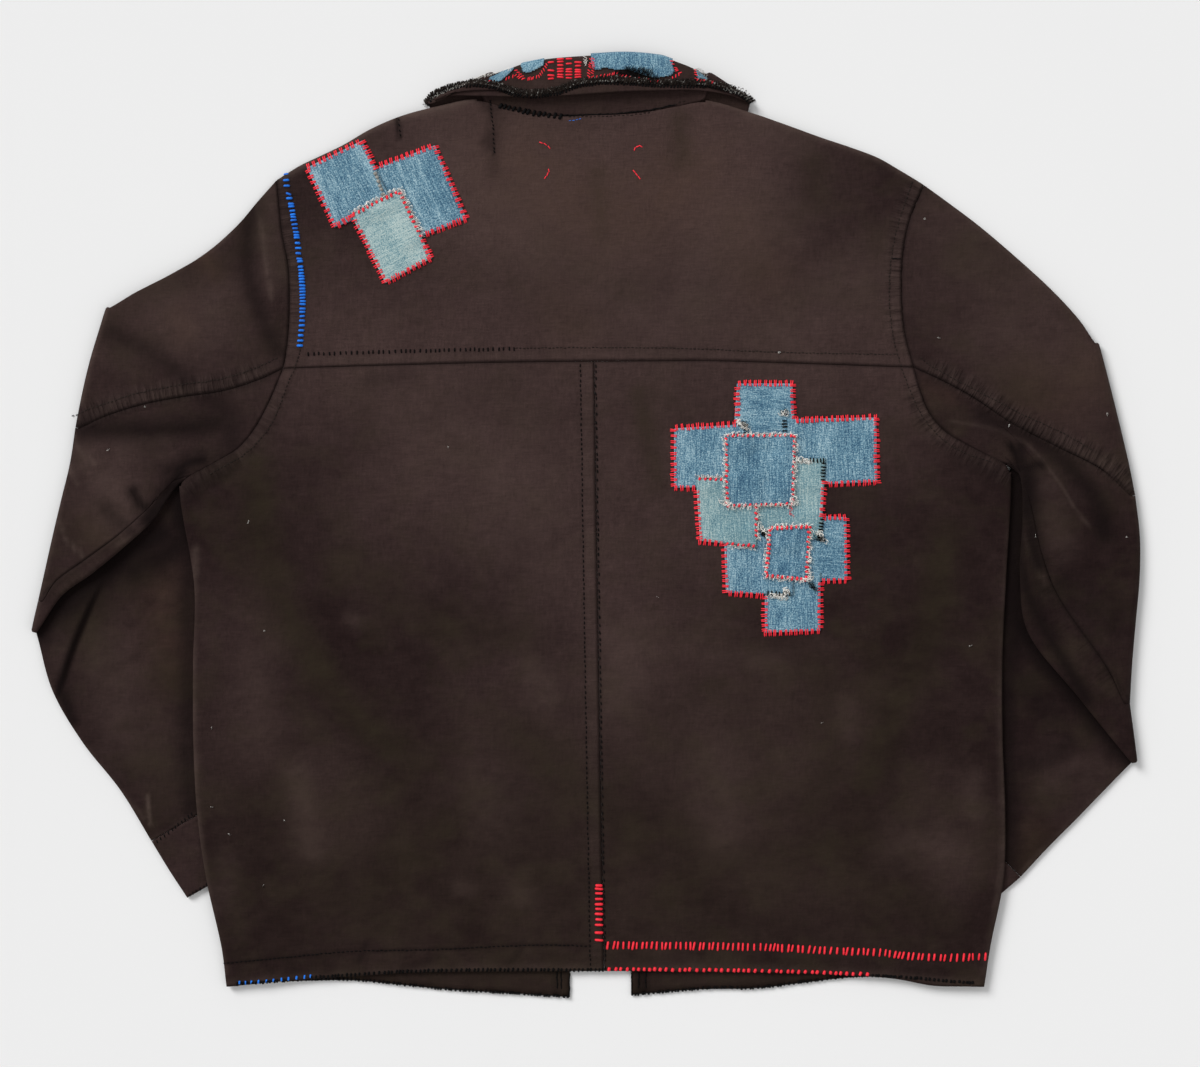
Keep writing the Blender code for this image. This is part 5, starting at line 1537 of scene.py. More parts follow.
def moleskin(name, dark, light):
    """Napped dark cotton with a close weave: lighter in broad areas, stained, rubbed pale with painted
    highlights, and with painted shade in its folds and seams.
    """
    look = Finish(name)
    threads = look.noise(look.place((620, 130, 130)), roughness=0.7)
    wefts = look.noise(look.place((110, 760, 110)), roughness=0.7)
    nap = look.noise(look.place(), 1500.0, roughness=0.7)
    cloud = look.noise(look.place(), 13.0, 4.0, 0.6)
    mottle = look.noise(look.place((60, 85, 60)), 1.0, 4.0, 0.65)
    broad_lightness = look.plus(look.painted("light"), look.swing(cloud, 0.10), look.swing(mottle, 0.07))
    colour = look.blend(look.remap(broad_lightness, 0.0, 1.0), dark, light)
    weave = look.plus(*(look.remap(way, 0.25, 0.75, 0.0, 0.5) for way in (threads, wefts)))
    weave = look.plus(look.times(weave, 0.7), look.remap(nap, 0.25, 0.75, 0.0, 0.3))
    colour = look.blend(0.85, colour, look.blend(weave, GREY, WHITE), "MULTIPLY")
    colour = look.blend(1.0, colour, GAIN, "MULTIPLY")
    uneven = look.remap(mottle, 0.25, 0.7, 0.45, 1.15)
    # Lays each painted tone's colour over the cloth: stains, painted light on lit slopes and painted
    # highlights among them
    for tone, overlay, most in TONE_COLOURS:
        colour = look.blend(look.times(look.times(look.painted(tone), uneven), most), colour, overlay)
    olive = look.remap(look.noise(look.place((24, 30, 24)), roughness=0.6), 0.46, 0.68, 0.0, 0.32)
    colour = look.blend(look.times(olive, look.rest(look.painted("light"))), colour, OLIVE)
    ripple, pulled = seam_ripples(look)
    # Painted shade between a seam's ripples and painted highlight on their tops
    colour = look.blend(look.times(look.rest(ripple), look.times(pulled, 0.5)), colour, SHADE)
    colour = look.blend(look.times(ripple, look.times(pulled, 0.18)), colour, RIPPLE_HIGHLIGHT)
    # Painted shade in the folds, valleys and seams, and some dirt
    colour = look.blend(look.times(look.painted("dirt"), 0.9), colour, SHADE_AND_DIRT_COLOUR)
    crinkle = look.noise(look.place((150, 150, 150)))
    return look.finished(
        colour,
        ((1.6, look.times(ripple, pulled)), (0.8, crinkle), (0.35, weave), (0.16, nap)),
        Roughness=0.88,
        Specular_IOR_Level=0.07,
        Sheen_Weight=0.03,
        Sheen_Roughness=0.45,
        Sheen_Tint=(0.6, 0.40, 0.34, 1),
    )


def denim(name, deep, mid, pale, across=False):
    """Washed denim: slubbed warp threads, a twill line, and a fade that is painted on each patch."""
    look = Finish(name)
    down, over = (860, 70), (150, 740)
    if across:
        down, over = down[::-1], over[::-1]
    slubs = look.noise(look.place((*down, 1), uv=True), roughness=0.6)
    wefts = look.noise(look.place((*over, 1), uv=True), detail=2.0)
    grain = look.noise(look.place(uv=True), 900.0, roughness=0.7)
    inputs = {"Vector": look.place(turn=0.5, uv=True), "Scale": 330.0, "Distortion": 1.2, "Detail": 1.0}
    twill = look.put("ShaderNodeTexWave", "Fac", inputs)
    cloud = look.noise(look.place((38, 38, 38)))
    light = look.plus(
        look.swing(slubs, 0.36),
        look.swing(grain, 0.66),
        look.swing(wefts, 0.16),
        look.swing(twill, 0.06, 0.0, 1.0),
        look.swing(cloud, 0.14),
        look.painted("fade"),
    )
    colour = look.blend(look.remap(light, 0.0, 0.55), deep, mid)
    colour = look.blend(look.remap(light, 0.5, 1.1), colour, pale)
    return look.finished(
        look.blend(look.times(look.painted("dirt"), 0.8), colour, DENIM_SHADE_AND_DIRT),
        ((0.5, cloud), (0.3, slubs), (0.22, twill), (0.2, grain)),
        Roughness=0.85,
        Specular_IOR_Level=0.25,
        Sheen_Weight=0.12,
        Sheen_Roughness=0.5,
    )


def thread(name, colour, darker, shine):
    """Spun thread, a little uneven in its dye, with its plies showing."""
    look = Finish(name)
    plies = look.noise(look.place(), 1500.0, 2.0)
    dye = look.noise(look.place(), 160.0, 2.0)
    tint = look.blend(look.remap(dye, 0.3, 0.7), colour, darker)
    tint = look.blend(look.remap(plies, 0.35, 0.7, 0.0, 0.5), tint, darker)
    return look.finished(tint, ((0.3, plies),), Roughness=0.62, Specular_IOR_Level=shine)


def floor_finish():
    look = Finish("floor")
    tint = look.blend(look.noise(look.place(), 3.0, 2.0), (0.768, 0.768, 0.768), (0.782, 0.782, 0.782))
    return look.finished(tint, (), Roughness=0.9)


# Thread, darning and fray

THREAD_REACH = 0.38  # how far from its middle a thread rests on the cloth, as a share of its length
MOST_DROP = 1.2  # how far below its middle a thread's ends reach at most
THREAD_LIFT = 0.25  # how far a thread's middle stands off the cloth, in its thickness
HAIR_LIFT = 0.4
THREAD_FLAT = 0.85  # a thread's height as a share of its thickness
STRAND = 0.6  # one of two strands, as a share of their stitch's thickness
LINT_LENGTH = 0.72
LINT_THICK = 0.75


def edit(shape, wanted, operator, **settings):
    """Runs an edit-mode operator on the points of a shape that are wanted."""
    bpy.ops.object.mode_set(mode="EDIT")
    mesh = bmesh.from_edit_mesh(shape.data)
    for vert in mesh.verts:
        vert.select_set(bool(wanted(vert.co)))
    mesh.select_flush_mode()
    bmesh.update_edit_mesh(shape.data)
    operator(**settings)
    bpy.ops.object.mode_set(mode="OBJECT")


def model_thread(name, sides, rings):
    """A length of thread along X, 1 long and 1 thick: a bar cut at rings, which are then sized and moved."""
    bpy.ops.object.select_all(action="DESELECT")
    bpy.ops.mesh.primitive_cylinder_add(vertices=sides, radius=0.5, depth=1.0, rotation=(0, math.pi / 2, 0))
    shape = bpy.context.object
    shape.name = name
    bpy.ops.object.transform_apply(rotation=True)
    for place, *_ in rings[1:-1]:
        edit(shape, lambda point: True, bpy.ops.mesh.bisect, plane_co=(place, 0, 0), plane_no=(1, 0, 0))
    for place, size, aside, up in rings:

        def in_ring(point, place=place):
            return abs(point.x - place) < 1e-3

        edit(shape, in_ring, bpy.ops.transform.resize, value=(1, size, size), center_override=(place, 0, 0))
        edit(shape, in_ring, bpy.ops.transform.translate, value=(0, aside, up))
    bpy.ops.object.shade_smooth()
    return shape


# Each thread's rings: the place along it, the size, and how far it is moved aside and up, in its thickness
BAR_RINGS = (
    (-0.5, 0.45, 0, -0.42), (-0.42, 0.86, 0, -0.16), (-0.22, 1, 0, 0), (0, 0.94, 0, 0.03), (0.22, 1, 0, 0),
    (0.42, 0.86, 0, -0.16), (0.5, 0.45, 0, -0.42),
)
DASH_RINGS = ((-0.5, 0.6, 0, -0.5), (-0.3, 1, 0, 0), (0.3, 1, 0, 0), (0.5, 0.6, 0, -0.5))
HAIR_RINGS = (
    (
        (-0.5, 1, 0, 0), (-0.25, 1, 1.6, 0.8), (0, 0.9, -1.2, 1.2), (0.25, 0.8, 1.8, 0.4),
        (0.5, 0.5, -0.8, 1.6),
    ),
    ((-0.5, 1, 0, 0), (-0.2, 1, 3, 1.4), (0.1, 0.9, 4.6, 2.2), (0.3, 0.8, 4, 2.6), (0.5, 0.5, 1.8, 1.4)),
    (
        (-0.5, 1, 0, 0), (-0.3, 1, -2.6, 0.9), (-0.1, 0.9, -0.8, 2.4), (0.2, 0.8, 2.6, 1.4),
        (0.5, 0.5, 0.4, 0.4),
    ),
)


def top_at(place, trees):
    """The height of the highest of some pieces' faces at a place."""
    start = Vector(((place[0] - CENTRE.x) * MM, (place[1] - CENTRE.y) * MM, 1))
    hits = [tree.ray_cast(start, Vector((0, 0, -1)))[0] for tree in trees]
    return max((hit.z / MM for hit in hits if hit), default=0.0)


def laid(place, angle, length, thick, lift=THREAD_LIFT, rise=0.0):
    """Where a thread lies on the cloth below it, as the matrix for a thread that is 1 long and 1 thick."""
    place = Vector(place)
    way = Vector((math.cos(angle), math.sin(angle)))
    middle = top_at(place, ground)
    ends = (top_at(place + way * length * s, ground) for s in (-THREAD_REACH, THREAD_REACH))
    start, end = (max(height, middle - MOST_DROP) for height in ends)
    height = max(middle, (start + end) / 2) + thick * lift
    tilt = -math.atan2(end - start, 2 * THREAD_REACH * length) - rise
    shift = Matrix.Translation((at_height(place, height) - at_height(CENTRE, 0)) * MM)
    turned = Matrix.Rotation(angle, 4, "Z") @ Matrix.Rotation(tilt, 4, "Y")
    return shift @ turned @ Matrix.Diagonal((length * MM, thick * MM, thick * THREAD_FLAT * MM, 1))


def walk(line, pitch, uneven, chance):
    """Places along a line and the angle of its way there, about a pitch apart."""
    line = [Vector(p) for p in points_of(line)]
    place, start = pitch * chance.uniform(0.25, 0.6), 0.0
    for a, b in zip(line, line[1:]):
        way = b - a
        while place < start + way.length:
            yield a + way * ((place - start) / way.length), math.atan2(way.y, way.x)
            place += pitch * chance.uniform(1 - uneven, 1 + uneven)
        start += way.length


def join_copies(name, copies, dye):
    """One piece of copies of modelled shapes: each is a shape and the matrix that puts it in its place."""
    bpy.ops.object.select_all(action="DESELECT")
    for shape, matrix in copies:
        copy = bpy.data.objects.new(name, shape.data.copy())
        copy.data.transform(matrix)
        bpy.context.scene.collection.objects.link(copy)
        copy.select_set(True)
    bpy.context.view_layer.objects.active = copy
    bpy.ops.object.join()
    copy.name = name
    copy.data.materials.append(finishes[f"{dye} thread"])
    return finish_piece(copy)


def stitch_row(line, pitch, length, thick, turn, uneven, seed):
    """The places of a row of stitches that run at an angle to their line."""
    chance = random.Random(seed)
    places = []
    for place, angle in walk(line, pitch, uneven, chance):
        turned = angle + math.radians(turn + chance.uniform(-7, 7))
        size = length * chance.uniform(0.9, 1.12)
        off = Vector((-math.sin(angle), math.cos(angle))) * chance.uniform(-0.3, 0.3)
        places.append((place + off, turned, size, thick * chance.uniform(0.88, 1.12)))
    return places


def doubled(places):
    """Each stitch as the two strands of its thread, side by side."""
    strands = []
    for number, (place, angle, size, thick) in enumerate(places):
        chance = random.Random(number)
        off = Vector((-math.sin(angle), math.cos(angle))) * thick * chance.uniform(0.32, 0.44)
        lean = math.radians(chance.uniform(-5, 5))
        strands += [
            (place + off, angle + lean, size * chance.uniform(0.86, 1.0), thick * STRAND),
            (place - off, angle - lean, size, thick * STRAND),
        ]
    return strands


def make_stitches():
    for name, (shape, dye, pitch, length, thick, turn, uneven, *lines) in STITCHING.items():
        places = []
        for number, line in enumerate(lines):
            places += stitch_row(line, pitch, length, thick, turn, uneven, f"{name} {number}")
        if shape == "double":
            shape, places = "bar", doubled(places)
        join_copies(name, [(threads[shape], laid(*place)) for place in places], dye)
    for name, (dye, length, thick, angle, stitches) in SINGLE_STITCHES.items():
        chance = random.Random(name)
        copies = []
        for stitch in stitches:
            turned = math.radians((stitch[2] if len(stitch) > 2 else angle) + chance.uniform(-5, 5))
            size = length * chance.uniform(0.9, 1.1)
            copies.append((threads["bar"], laid(stitch[:2], turned, size, thick * chance.uniform(0.9, 1.1))))
        join_copies(name, copies, dye)


def make_fray():
    """Loose ends of thread that stand out along cut and darned edges."""
    for name, (dye, pitch, length, thick, spread, way, *lines) in FRAYS.items():
        chance = random.Random(name)
        copies = []
        for line in lines:
            for place, angle in walk(line, pitch, 0.6, chance):
                turned = angle + math.radians(way + chance.uniform(-spread, spread))
                size = length * chance.uniform(0.5, 1.35)
                off = Vector((-math.sin(angle), math.cos(angle))) * chance.uniform(-0.5, 0.5)
                shape = threads[f"hair {chance.randrange(3)}"]
                rise = chance.uniform(-0.05, 0.3)
                copies.append((shape, laid(place + off, turned, size, thick, HAIR_LIFT, rise)))
        join_copies(name, copies, dye)


def rect(a, b, c, d):
    return (a, b, c, d, a)


CENTRE_PATCH, LOW_PATCH = [rect(*patch[2:]) for patch in BACK_PATCHES if patch[0] in (9, 10)]

# Rows of stitches: shape, thread, pitch, length, thickness, angle to the line, unevenness, and their lines
STITCHING = {
    "overcast_shoulder": (
        "double", "red", 4.6, 5.4, 1.95, 84, 0.14, (-211.2, 596, -233.6, 644),
        (-233.6, 644.5, -188.8, 665.6), (-188.8, 665.6, -177.5, 643), (-175, 646, -130.4, 661.6),
        (-130.4, 661.6, -104.8, 602.4), (-104.8, 602.4, -139, 589.5), (-140.5, 587, -132.8, 571.2),
        (-132.8, 571.2, -170.4, 551.2), (-170.4, 551.2, -197.6, 605.6), (-198, 604.5, -211.2, 596),
    ),
    "overcast_back": (
        "double", "red", 4.3, 5.4, 1.75, 90, 0.16, (111.6, 438.4, 111.2, 471.2), (111.2, 471.4, 156, 471.4),
        (156, 471.2, 157.6, 442), (157.4, 441.6, 223.2, 444.4), (223.4, 444, 224, 392),
        (224, 391.8, 182.4, 389.8), (181.6, 393, 179.8, 365), (180.4, 364, 199.2, 364.2),
        (199.4, 364, 200.2, 313.6), (200, 313, 179, 312.2), (178.6, 312, 178.6, 272.8),
        (178.4, 272.2, 133.6, 270.8), (133.4, 271.2, 133.4, 301), (133.6, 300.6, 102.4, 302.6),
        (102, 303.2, 100.6, 342), (100.6, 342.4, 81.6, 344), (81.2, 344.8, 78.4, 387),
        (78.8, 387, 60.8, 386.8), (60.4, 387.2, 60.4, 435.2), (60.8, 435.6, 111, 438.8),
    ),
    "stitches_centre_patch": (
        "bar", "red", 4.3, 2.9, 1.9, 60, 0.12, CENTRE_PATCH, (79.2, 395, 101.6, 394.4),
        (126.8, 372.8, 126.8, 345), (125.6, 340.8, 102, 342.4),
    ),
    "stitches_low_patch": ("bar", "red", 3.8, 3.4, 2, 80, 0.14, LOW_PATCH),
    "stitches_pale_patch": (
        "bar", "red", 4.2, 3.4, 2, 75, 0.1, (-197.6, 605.6, -159.2, 624.8), (-159.2, 624.8, -141.3, 588.5),
    ),
    "darning_patches": (
        "bar", "black", 2.9, 4.2, 1.2, 90, 0.2, (158.8, 409.6, 181.6, 409.6), (181.2, 408, 180.4, 393),
        (179.6, 363, 177.6, 346), (149, 442, 149.8, 430.5), (118.4, 438, 118.6, 430.5),
        (135, 302.6, 154, 302.4), (130, 351.5, 134.5, 350),
    ),
    "beads_shoulder": ("bar", "grey", 3.6, 2.9, 3, 20, 0.15, (-178.4, 640, -171.4, 620.6)),
    "hem_right_overcast": (
        "bar", "red", 4, 6.4, 1.8, 84, 0.34,
        curve((5.6, 20.8, 129.6, 19.2, 193.6, 16.2, 227.2, 15.2, 244.8, 12.8, 274.4, 11.2, 312.8, 12)),
    ),
    "hem_right_edge": ("bar", "red", 4.7, 3.2, 2.5, 75, 0.25, curve((6.4, 1.6, 110, 0.6, 216, -2.4))),
    "topstitch_sleeves": (
        "dash", "brown", 3.1, 2.2, 0.75, 0, 0.1, curve_beside(BACK_SEAM_LEFT, -BAND),
        curve((258, 492, 270, 483, 300, 467, 340, 446, 370, 432, 395, 418)),
    ),
    "topstitch_armholes": (
        "dash", "brown", 3.1, 2.2, 0.75, 0, 0.1,
        curve((-237, 508, -240, 492, -249, 470, -262, 438, -282, 415, -312, 398)),
        curve((252, 633, 241, 600, 235, 570, 234, 530, 240, 495, 256, 452, 270, 432, 290, 417, 315, 408)),
    ),
    "topstitch_yoke": (
        "dash", "brown", 3.1, 2.2, 0.7, 0, 0.1,
        curve((-66.4, 499.2, 1.6, 499.8, 62.4, 499.2, 148.8, 496, 238, 494.4)),
    ),
    "mending_yoke": (
        "bar", "black", 4.1, 3.1, 1.15, 90, 0.2, curve((-233.6, 494.6, -150, 497, -66.4, 498.8)),
    ),
    "topstitch_centre_back": ("dash", "black", 4, 2.4, 0.9, 0, 0.15, curve_beside(CENTRE_BACK, CENTRE_BAND)),
    "mending_centre_back": ("bar", "black", 5.4, 2.6, 1, 8, 0.35, curve_beside(CENTRE_BACK, -1.2)),
    "topstitch_hem_left": (
        "dash", "black", 3.4, 2.3, 0.8, 0, 0.12,
        curve((-300.8, 6.4, -273.6, 8.8, -234.4, 12.8, -195.2, 16, -142.4, 16.8, -46.4, 20.8, -9.6, 20)),
    ),
    "darning_shoulder_dart": (
        "bar", "black", 3.6, 2.2, 1, 20, 0.3, (-86.4, 699, -84, 676, -83.2, 655.2),
        (-160, 684, -158.4, 668.8),
    ),
    "overcast_neck": ("bar", "black", 4, 5.2, 2.4, 70, 0.2, (-79, 693.6, -52, 687.6, -27, 684.6)),
    "neck_line": (
        "bar", "black", 3.2, 5, 1, 3, 0.3, curve((-27, 685.6, 0, 686.6, 22, 687.6, 48, 691.2, 62, 694.6)),
    ),
    "topstitch_neck": (
        "dash", "brown", 3.4, 2.2, 0.7, 0, 0.1, curve((-24, 684.4, 31.2, 686.4, 51.2, 691, 70, 697.6)),
    ),
    "hem_left_edge": (
        "bar", "black", 3.3, 3.2, 1.7, 80, 0.3, curve([(x, y + 0.9) for x, y in BACK_HEM if -240 < x < 10]),
    ),
    "rough_hem": (
        "bar", "black", 2.9, 2.6, 1.9, 78, 0.45, curve([(x, y + 0.1) for x, y in FRONT_HEM_LEFT]),
        curve([(x, y + 0.1) for x, y in FRONT_HEM_RIGHT[::-1]]),
    ),
    "topstitch_plackets": (
        "bar", "black", 1.9, 2.4, 0.9, 0, 0.2, (-23.2, -20, -22.6, -2), (27.2, -18, 26.8, -2),
        (-32.8, -14, -32.8, -1), (-29.6, -14, -29.6, -1), (32.8, -14, 32.8, -1), (38.4, -14, 38.4, -1),
    ),
    "stitches_cuff_left": (
        "bar", "black", 3.4, 2.6, 0.9, 70, 0.2, (-328, 60, -312, 70), (-355, 103, -324, 127),
    ),
    "darning_right_armhole": ("bar", "black", 3.4, 4.2, 1, 0, 0.2, (236, 571, 243, 571)),
    "whipping_collar": ("bar", "black", 2.5, 3.2, 1.6, 68, 0.15, curve(COLLAR_WHIPPING)),
    "binding_collar": (
        "bar", "brown", 1.9, 4.4, 1.5, 66, 0.4, curve_beside(curve(COLLAR_WHIPPING), 2.4),
        curve_beside(curve(COLLAR_WHIPPING), 4),
    ),
    "whipping_collar_grey": (
        "bar", "grey", 4.8, 1.7, 0.9, 55, 0.8, curve_beside(curve(COLLAR_WHIPPING), 1.6),
        curve_beside(curve(COLLAR_WHIPPING), 3), curve_beside(curve(COLLAR_WHIPPING), 4.4),
    ),
    "stitches_collar_patches": (
        "bar", "red", 2.2, 2.9, 0.85, 60, 0.5, (-88, 712.6, -83, 710.2), (-74.4, 714, -66, 717, -58, 713),
        (-66, 722, -60, 715, -58, 712.5), (-57, 713.6, -47, 716, -42.6, 722, -40.6, 727),
        (-5.6, 731, -6.4, 724, -7.6, 716), (-4, 731, -3.6, 724, -4.6, 718),
        (-7.6, 714.8, 6, 716.8, 14, 718.6, 28, 714.4, 36, 714, 48, 711.4, 58, 712),
        (58.6, 729, 62, 722, 66, 718.4, 58, 713.6), (77.6, 722, 78.4, 714), (79, 713, 92, 711.4),
    ),
}

COLUMNS = (
    (-37.6, (727.5, 720.8, 716.8, 714.1)), (-30.1, (730.2, 728, 725.1, 722.1, 720, 717.4, 715.4)),
    (-23.2, (730.4, 726.4, 721.8, 719.8, 717.3, 714.7)), (-16, (727.5, 724.6, 721.3, 719.6, 717.4, 715.4)),
)

# Stitches placed one by one: thread, length, thickness, angle, and places, some with an angle of their own
SINGLE_STITCHES = {
    "stitches_left_armhole": (
        "blue", 4.8, 2, 2,
        (
            (-250.5, 639), (-250, 634), (-249.5, 629.5), (-248, 623, -20), (-247.4, 619.5), (-246, 615),
            (-245.8, 613), (-245, 609.5), (-244.6, 606.5), (-244.2, 604.5), (-244, 602), (-243.2, 598.6),
            (-242.8, 595.4), (-242, 592.4), (-241.6, 590), (-241.4, 588), (-240.8, 583.6), (-240.2, 579.6),
            (-240.2, 575.4), (-239.4, 571), (-238.8, 569), (-238.4, 564.6), (-238, 562), (-237.8, 559.4),
            (-237.6, 557), (-237.4, 554.8), (-237.2, 552.4), (-237, 549.6), (-237, 547), (-236.8, 544.6),
            (-236.8, 542), (-236.8, 539.6), (-236.6, 537), (-236.8, 534.6), (-236.8, 531), (-237, 528.4),
            (-237, 525), (-237.2, 521.4), (-237.4, 517.6), (-237.8, 513.6), (-238.2, 509.6), (-238.6, 505.4),
            (-239, 501.4),
        ),
    ),
    "stitches_left_hem": (
        "blue", 3.2, 1.6, 84,
        (
            (-287.2, -9), (-282.4, -9.2), (-277.6, -8.8), (-272, -8.4), (-265.6, -8), (-260, -7.4),
            (-253.6, -6.6), (-248, -6), (-241.6, -5.2), (-235.2, -4.6), (-230.4, -4),
        ),
    ),
    "stitches_centre_back": (
        "red", 6.4, 2.2, 0,
        tuple(((0.8, y) for y in (68.6, 65.9, 62.3, 57.8, 53.6, 49.8, 45.8, 41.4, 37.0, 30.8, 24.8))),
    ),
    "label_tacks": (
        "red", 3, 0.9, 0,
        (
            (-45.6, 663.6, -20), (-42.2, 662.4, -35), (-39.2, 660, -55), (-39.4, 641.4, -80),
            (-40.4, 638.4, -110), (-42.2, 635.8, -125), (29.4, 658.6, 70), (31.8, 660.6, 20),
            (34.2, 660.8, -30), (29, 640.6, -50), (31, 638, -55), (33, 635.6, -50),
        ),
    ),
    "mending_neck": ("blue", 1.8, 0.5, 15, ((-22.4, 681.4), (-19.6, 681.6), (-16.8, 682.2), (-14.4, 682.8))),
    "stitches_collar": ("red", 5.4, 1.6, 0, tuple(((x, y) for x, column in COLUMNS for y in column))),
}

# Loose ends along edges: thread, pitch, length, thickness, spread in degrees, angle to the line, and lines
FRAYS = {
    "fray_centre_patch": (
        "white", 1.05, 3, 0.66, 70, 0, CENTRE_PATCH, (79.2, 396.2, 101.6, 395.6), (127.6, 372.8, 127.6, 345),
        (125.6, 339.4, 102, 341.2),
    ),
    "fray_low_patch": ("white", 1.05, 3.4, 0.66, 70, 0, LOW_PATCH),
    "fray_shoulder": (
        "white", 0.8, 3, 0.75, 55, 0, (-198, 606.6, -158.6, 626), (-158.6, 626, -140.3, 588.5),
    ),
    "fray_joints": (
        "white", 0.5, 4.6, 0.62, 150, 0, (112, 441, 120, 433.4), (146.8, 446.6, 152, 447.6),
        (159, 409.8, 170, 408), (176, 352, 182, 344), (130, 356, 135, 350), (150, 302, 151, 306),
        (136, 301, 152, 299.4), (99, 377, 106, 374), (167, 313, 172, 317), (154, 378, 160, 374),
        (112, 439.4, 119.6, 437),
    ),
    "knots_joints": (
        "black", 0.6, 3.8, 0.8, 150, 0, (147.2, 446.4, 151.6, 447), (176, 349, 181, 345),
        (131, 352, 134, 349.6), (114, 439, 119, 437), (170, 310, 174, 305),
    ),
    "stray_thread": ("red", 2.6, 4.4, 0.5, 16, 0, (152.8, 372, 154.6, 367, 156.8, 363)),
    "fray_collar": (
        "grey", 2.3, 2, 0.42, 120, 20, curve_beside(curve(COLLAR_WHIPPING), 2),
        curve_beside(curve(COLLAR_WHIPPING), 4.2),
    ),
    "fray_collar_ends": (
        "grey", 0.9, 1.8, 0.45, 120, 30, (-132, 699, -122, 705, -108, 709),
        (99, 706.6, 112, 702.6, 119, 698),
    ),
    "fray_collar_dark": ("brown", 1, 2.4, 0.7, 110, 20, curve_beside(curve(COLLAR_WHIPPING), 3.2)),
    "fray_collar_patch": (
        "black", 0.42, 6, 0.42, 24, 90, (14, 718, 22, 718.6, 34, 716.6, 48, 714.6), (22, 722, 44, 719),
    ),
    "fray_collar_right": ("grey", 0.5, 4.4, 0.3, 50, 90, (78, 722, 88, 716)),
    "fray_collar_white": ("white", 0.8, 3.6, 0.4, 14, 0, (-10.8, 732, -10.8, 725.4)),
    "fray_collar_left": ("white", 0.8, 2.4, 0.3, 80, 0, (-100, 714.4, -88, 717, -70, 722.4)),
}

# Lint and specks: place, length, thickness and angle
LINT = (
    (262, 603, 2, 0.7, 40), (274.5, 508, 1.8, 0.7, 100), (350, 349, 1.6, 0.7, 20), (423, 348, 1.6, 0.6, 70),
    (329, 436, 1.8, 0.6, 10), (298, 261, 1.6, 0.7, 120), (-362, 452, 1.6, 0.7, 60),
    (-391, 419, 1.8, 0.7, 150), (-280, 360, 3.4, 0.5, 30), (-267, 273, 1.6, 0.7, 80),
    (-309, 194, 1.4, 0.6, 10), (-309, 132, 1.6, 0.6, 100), (-251, 121, 1.4, 0.6, 45),
    (-294, 110, 1.6, 0.6, 75), (-268, 69, 1.4, 0.6, 0), (145.6, 496, 2.2, 1, 90), (408, 445, 2, 0.7, 30),
    (48, 300, 1.4, 0.5, 80), (-120, 420, 1.4, 0.5, 20), (180, 200, 1.4, 0.5, 130),
)


def make_lint():
    copies = []
    for number, (x, y, length, thick, angle) in enumerate(LINT):
        size, thick = LINT_LENGTH * length, LINT_THICK * thick
        copies.append((threads[f"hair {number % 3}"], laid((x, y), math.radians(angle), size, thick)))
    join_copies("lint", copies, "white")


# Patches


def drape(points, below):
    """Brings a level net of points down onto the pieces below it, in soft steps over their edges."""
    graph = bpy.context.evaluated_depsgraph_get()
    trees = [BVHTree.FromObject(made[name], graph) for name in below]
    height = np.zeros(points.shape[:2])
    down, across = height.shape
    for i, j in np.ndindex(down, across):
        height[i, j] = top_at(points[i, j], trees)
    for soften in (np.max, np.max, np.mean, np.mean):
        padded = np.pad(height, 1, mode="edge")
        near = [padded[a : a + down, b : b + across] for a in range(3) for b in range(3)]
        height = soften(near, axis=0)
    points[..., 2] = height + DENIM / 2 + PATCH_CLEAR
    return points


def patch_sheet(name, rows, finish, step, **more):
    """A patch, faded all over and in streaks."""
    fade, *streaks = FADES[name]

    def tones(points):
        return {"fade": fade + tone_at(points, streaks), "dirt": np.zeros(points.shape[:2])}

    sheet(name, rows, finish, thickness=DENIM, step=step, tones=tones, **more)


def make_patch(name, corners, finish, below):
    upper_left, upper_right, lower_right, lower_left = (Vector((*p, 0)) for p in corners)
    rows = []
    for v in QUARTERS:
        start, end = lerp(upper_left, lower_left, v), lerp(upper_right, lower_right, v)
        rows.append([lerp(start, end, u) for u in QUARTERS])
    patch_sheet(name, rows, finish, PATCH_STEP, settle=lambda points: drape(points, below))


def make_patches(prefix, patches, panels):
    below = [f"{panel}_cloth" for panel in panels]
    for number, finish, *corners in patches:
        name = f"{prefix}_{number:02d}"
        make_patch(name, corners, finish, below)
        below.append(f"{name}_cloth")


def between(rows, place):
    """What lies between two neighbouring entries of a list, at a place given in entries."""
    i = min(int(place), len(rows) - 2)
    if isinstance(rows[i], Vector):
        return lerp(rows[i], rows[i + 1], place - i)
    return [lerp(a, b, place - i) for a, b in zip(rows[i], rows[i + 1])]


def stops(first, last):
    """The whole numbers between two places, with both ends."""
    return [first, *range(math.floor(first) + 1, math.ceil(last)), last]


def make_collar_patch(number, first, last, low, high):
    """A patch on the collar's leaf, made from the leaf's own points moved out."""
    above = (CLOTH + DENIM) / 2 + COLLAR_PATCH_CLEAR
    sections = [top_collar_section(row, above) for row in COLLAR]
    rows = [[between(between(sections, i), j) for j in stops(low, high)] for i in stops(first, last)]
    outline = points_of(COLLAR_PATCH_CUTS[number - 1])
    patch_sheet(f"patch_collar_{number}", rows, "mid denim, turned", COLLAR_PATCH_STEP, cut=outline)


# The making of it all

EYE_PLACE = (0.0108, -0.0059, 2.409)  # in metres, straight above
EYE_LENS = 90
SKY_STRENGTH = 0.50
FLOOR_DROP = 0.0005  # the floor is this far below the jacket, in metres
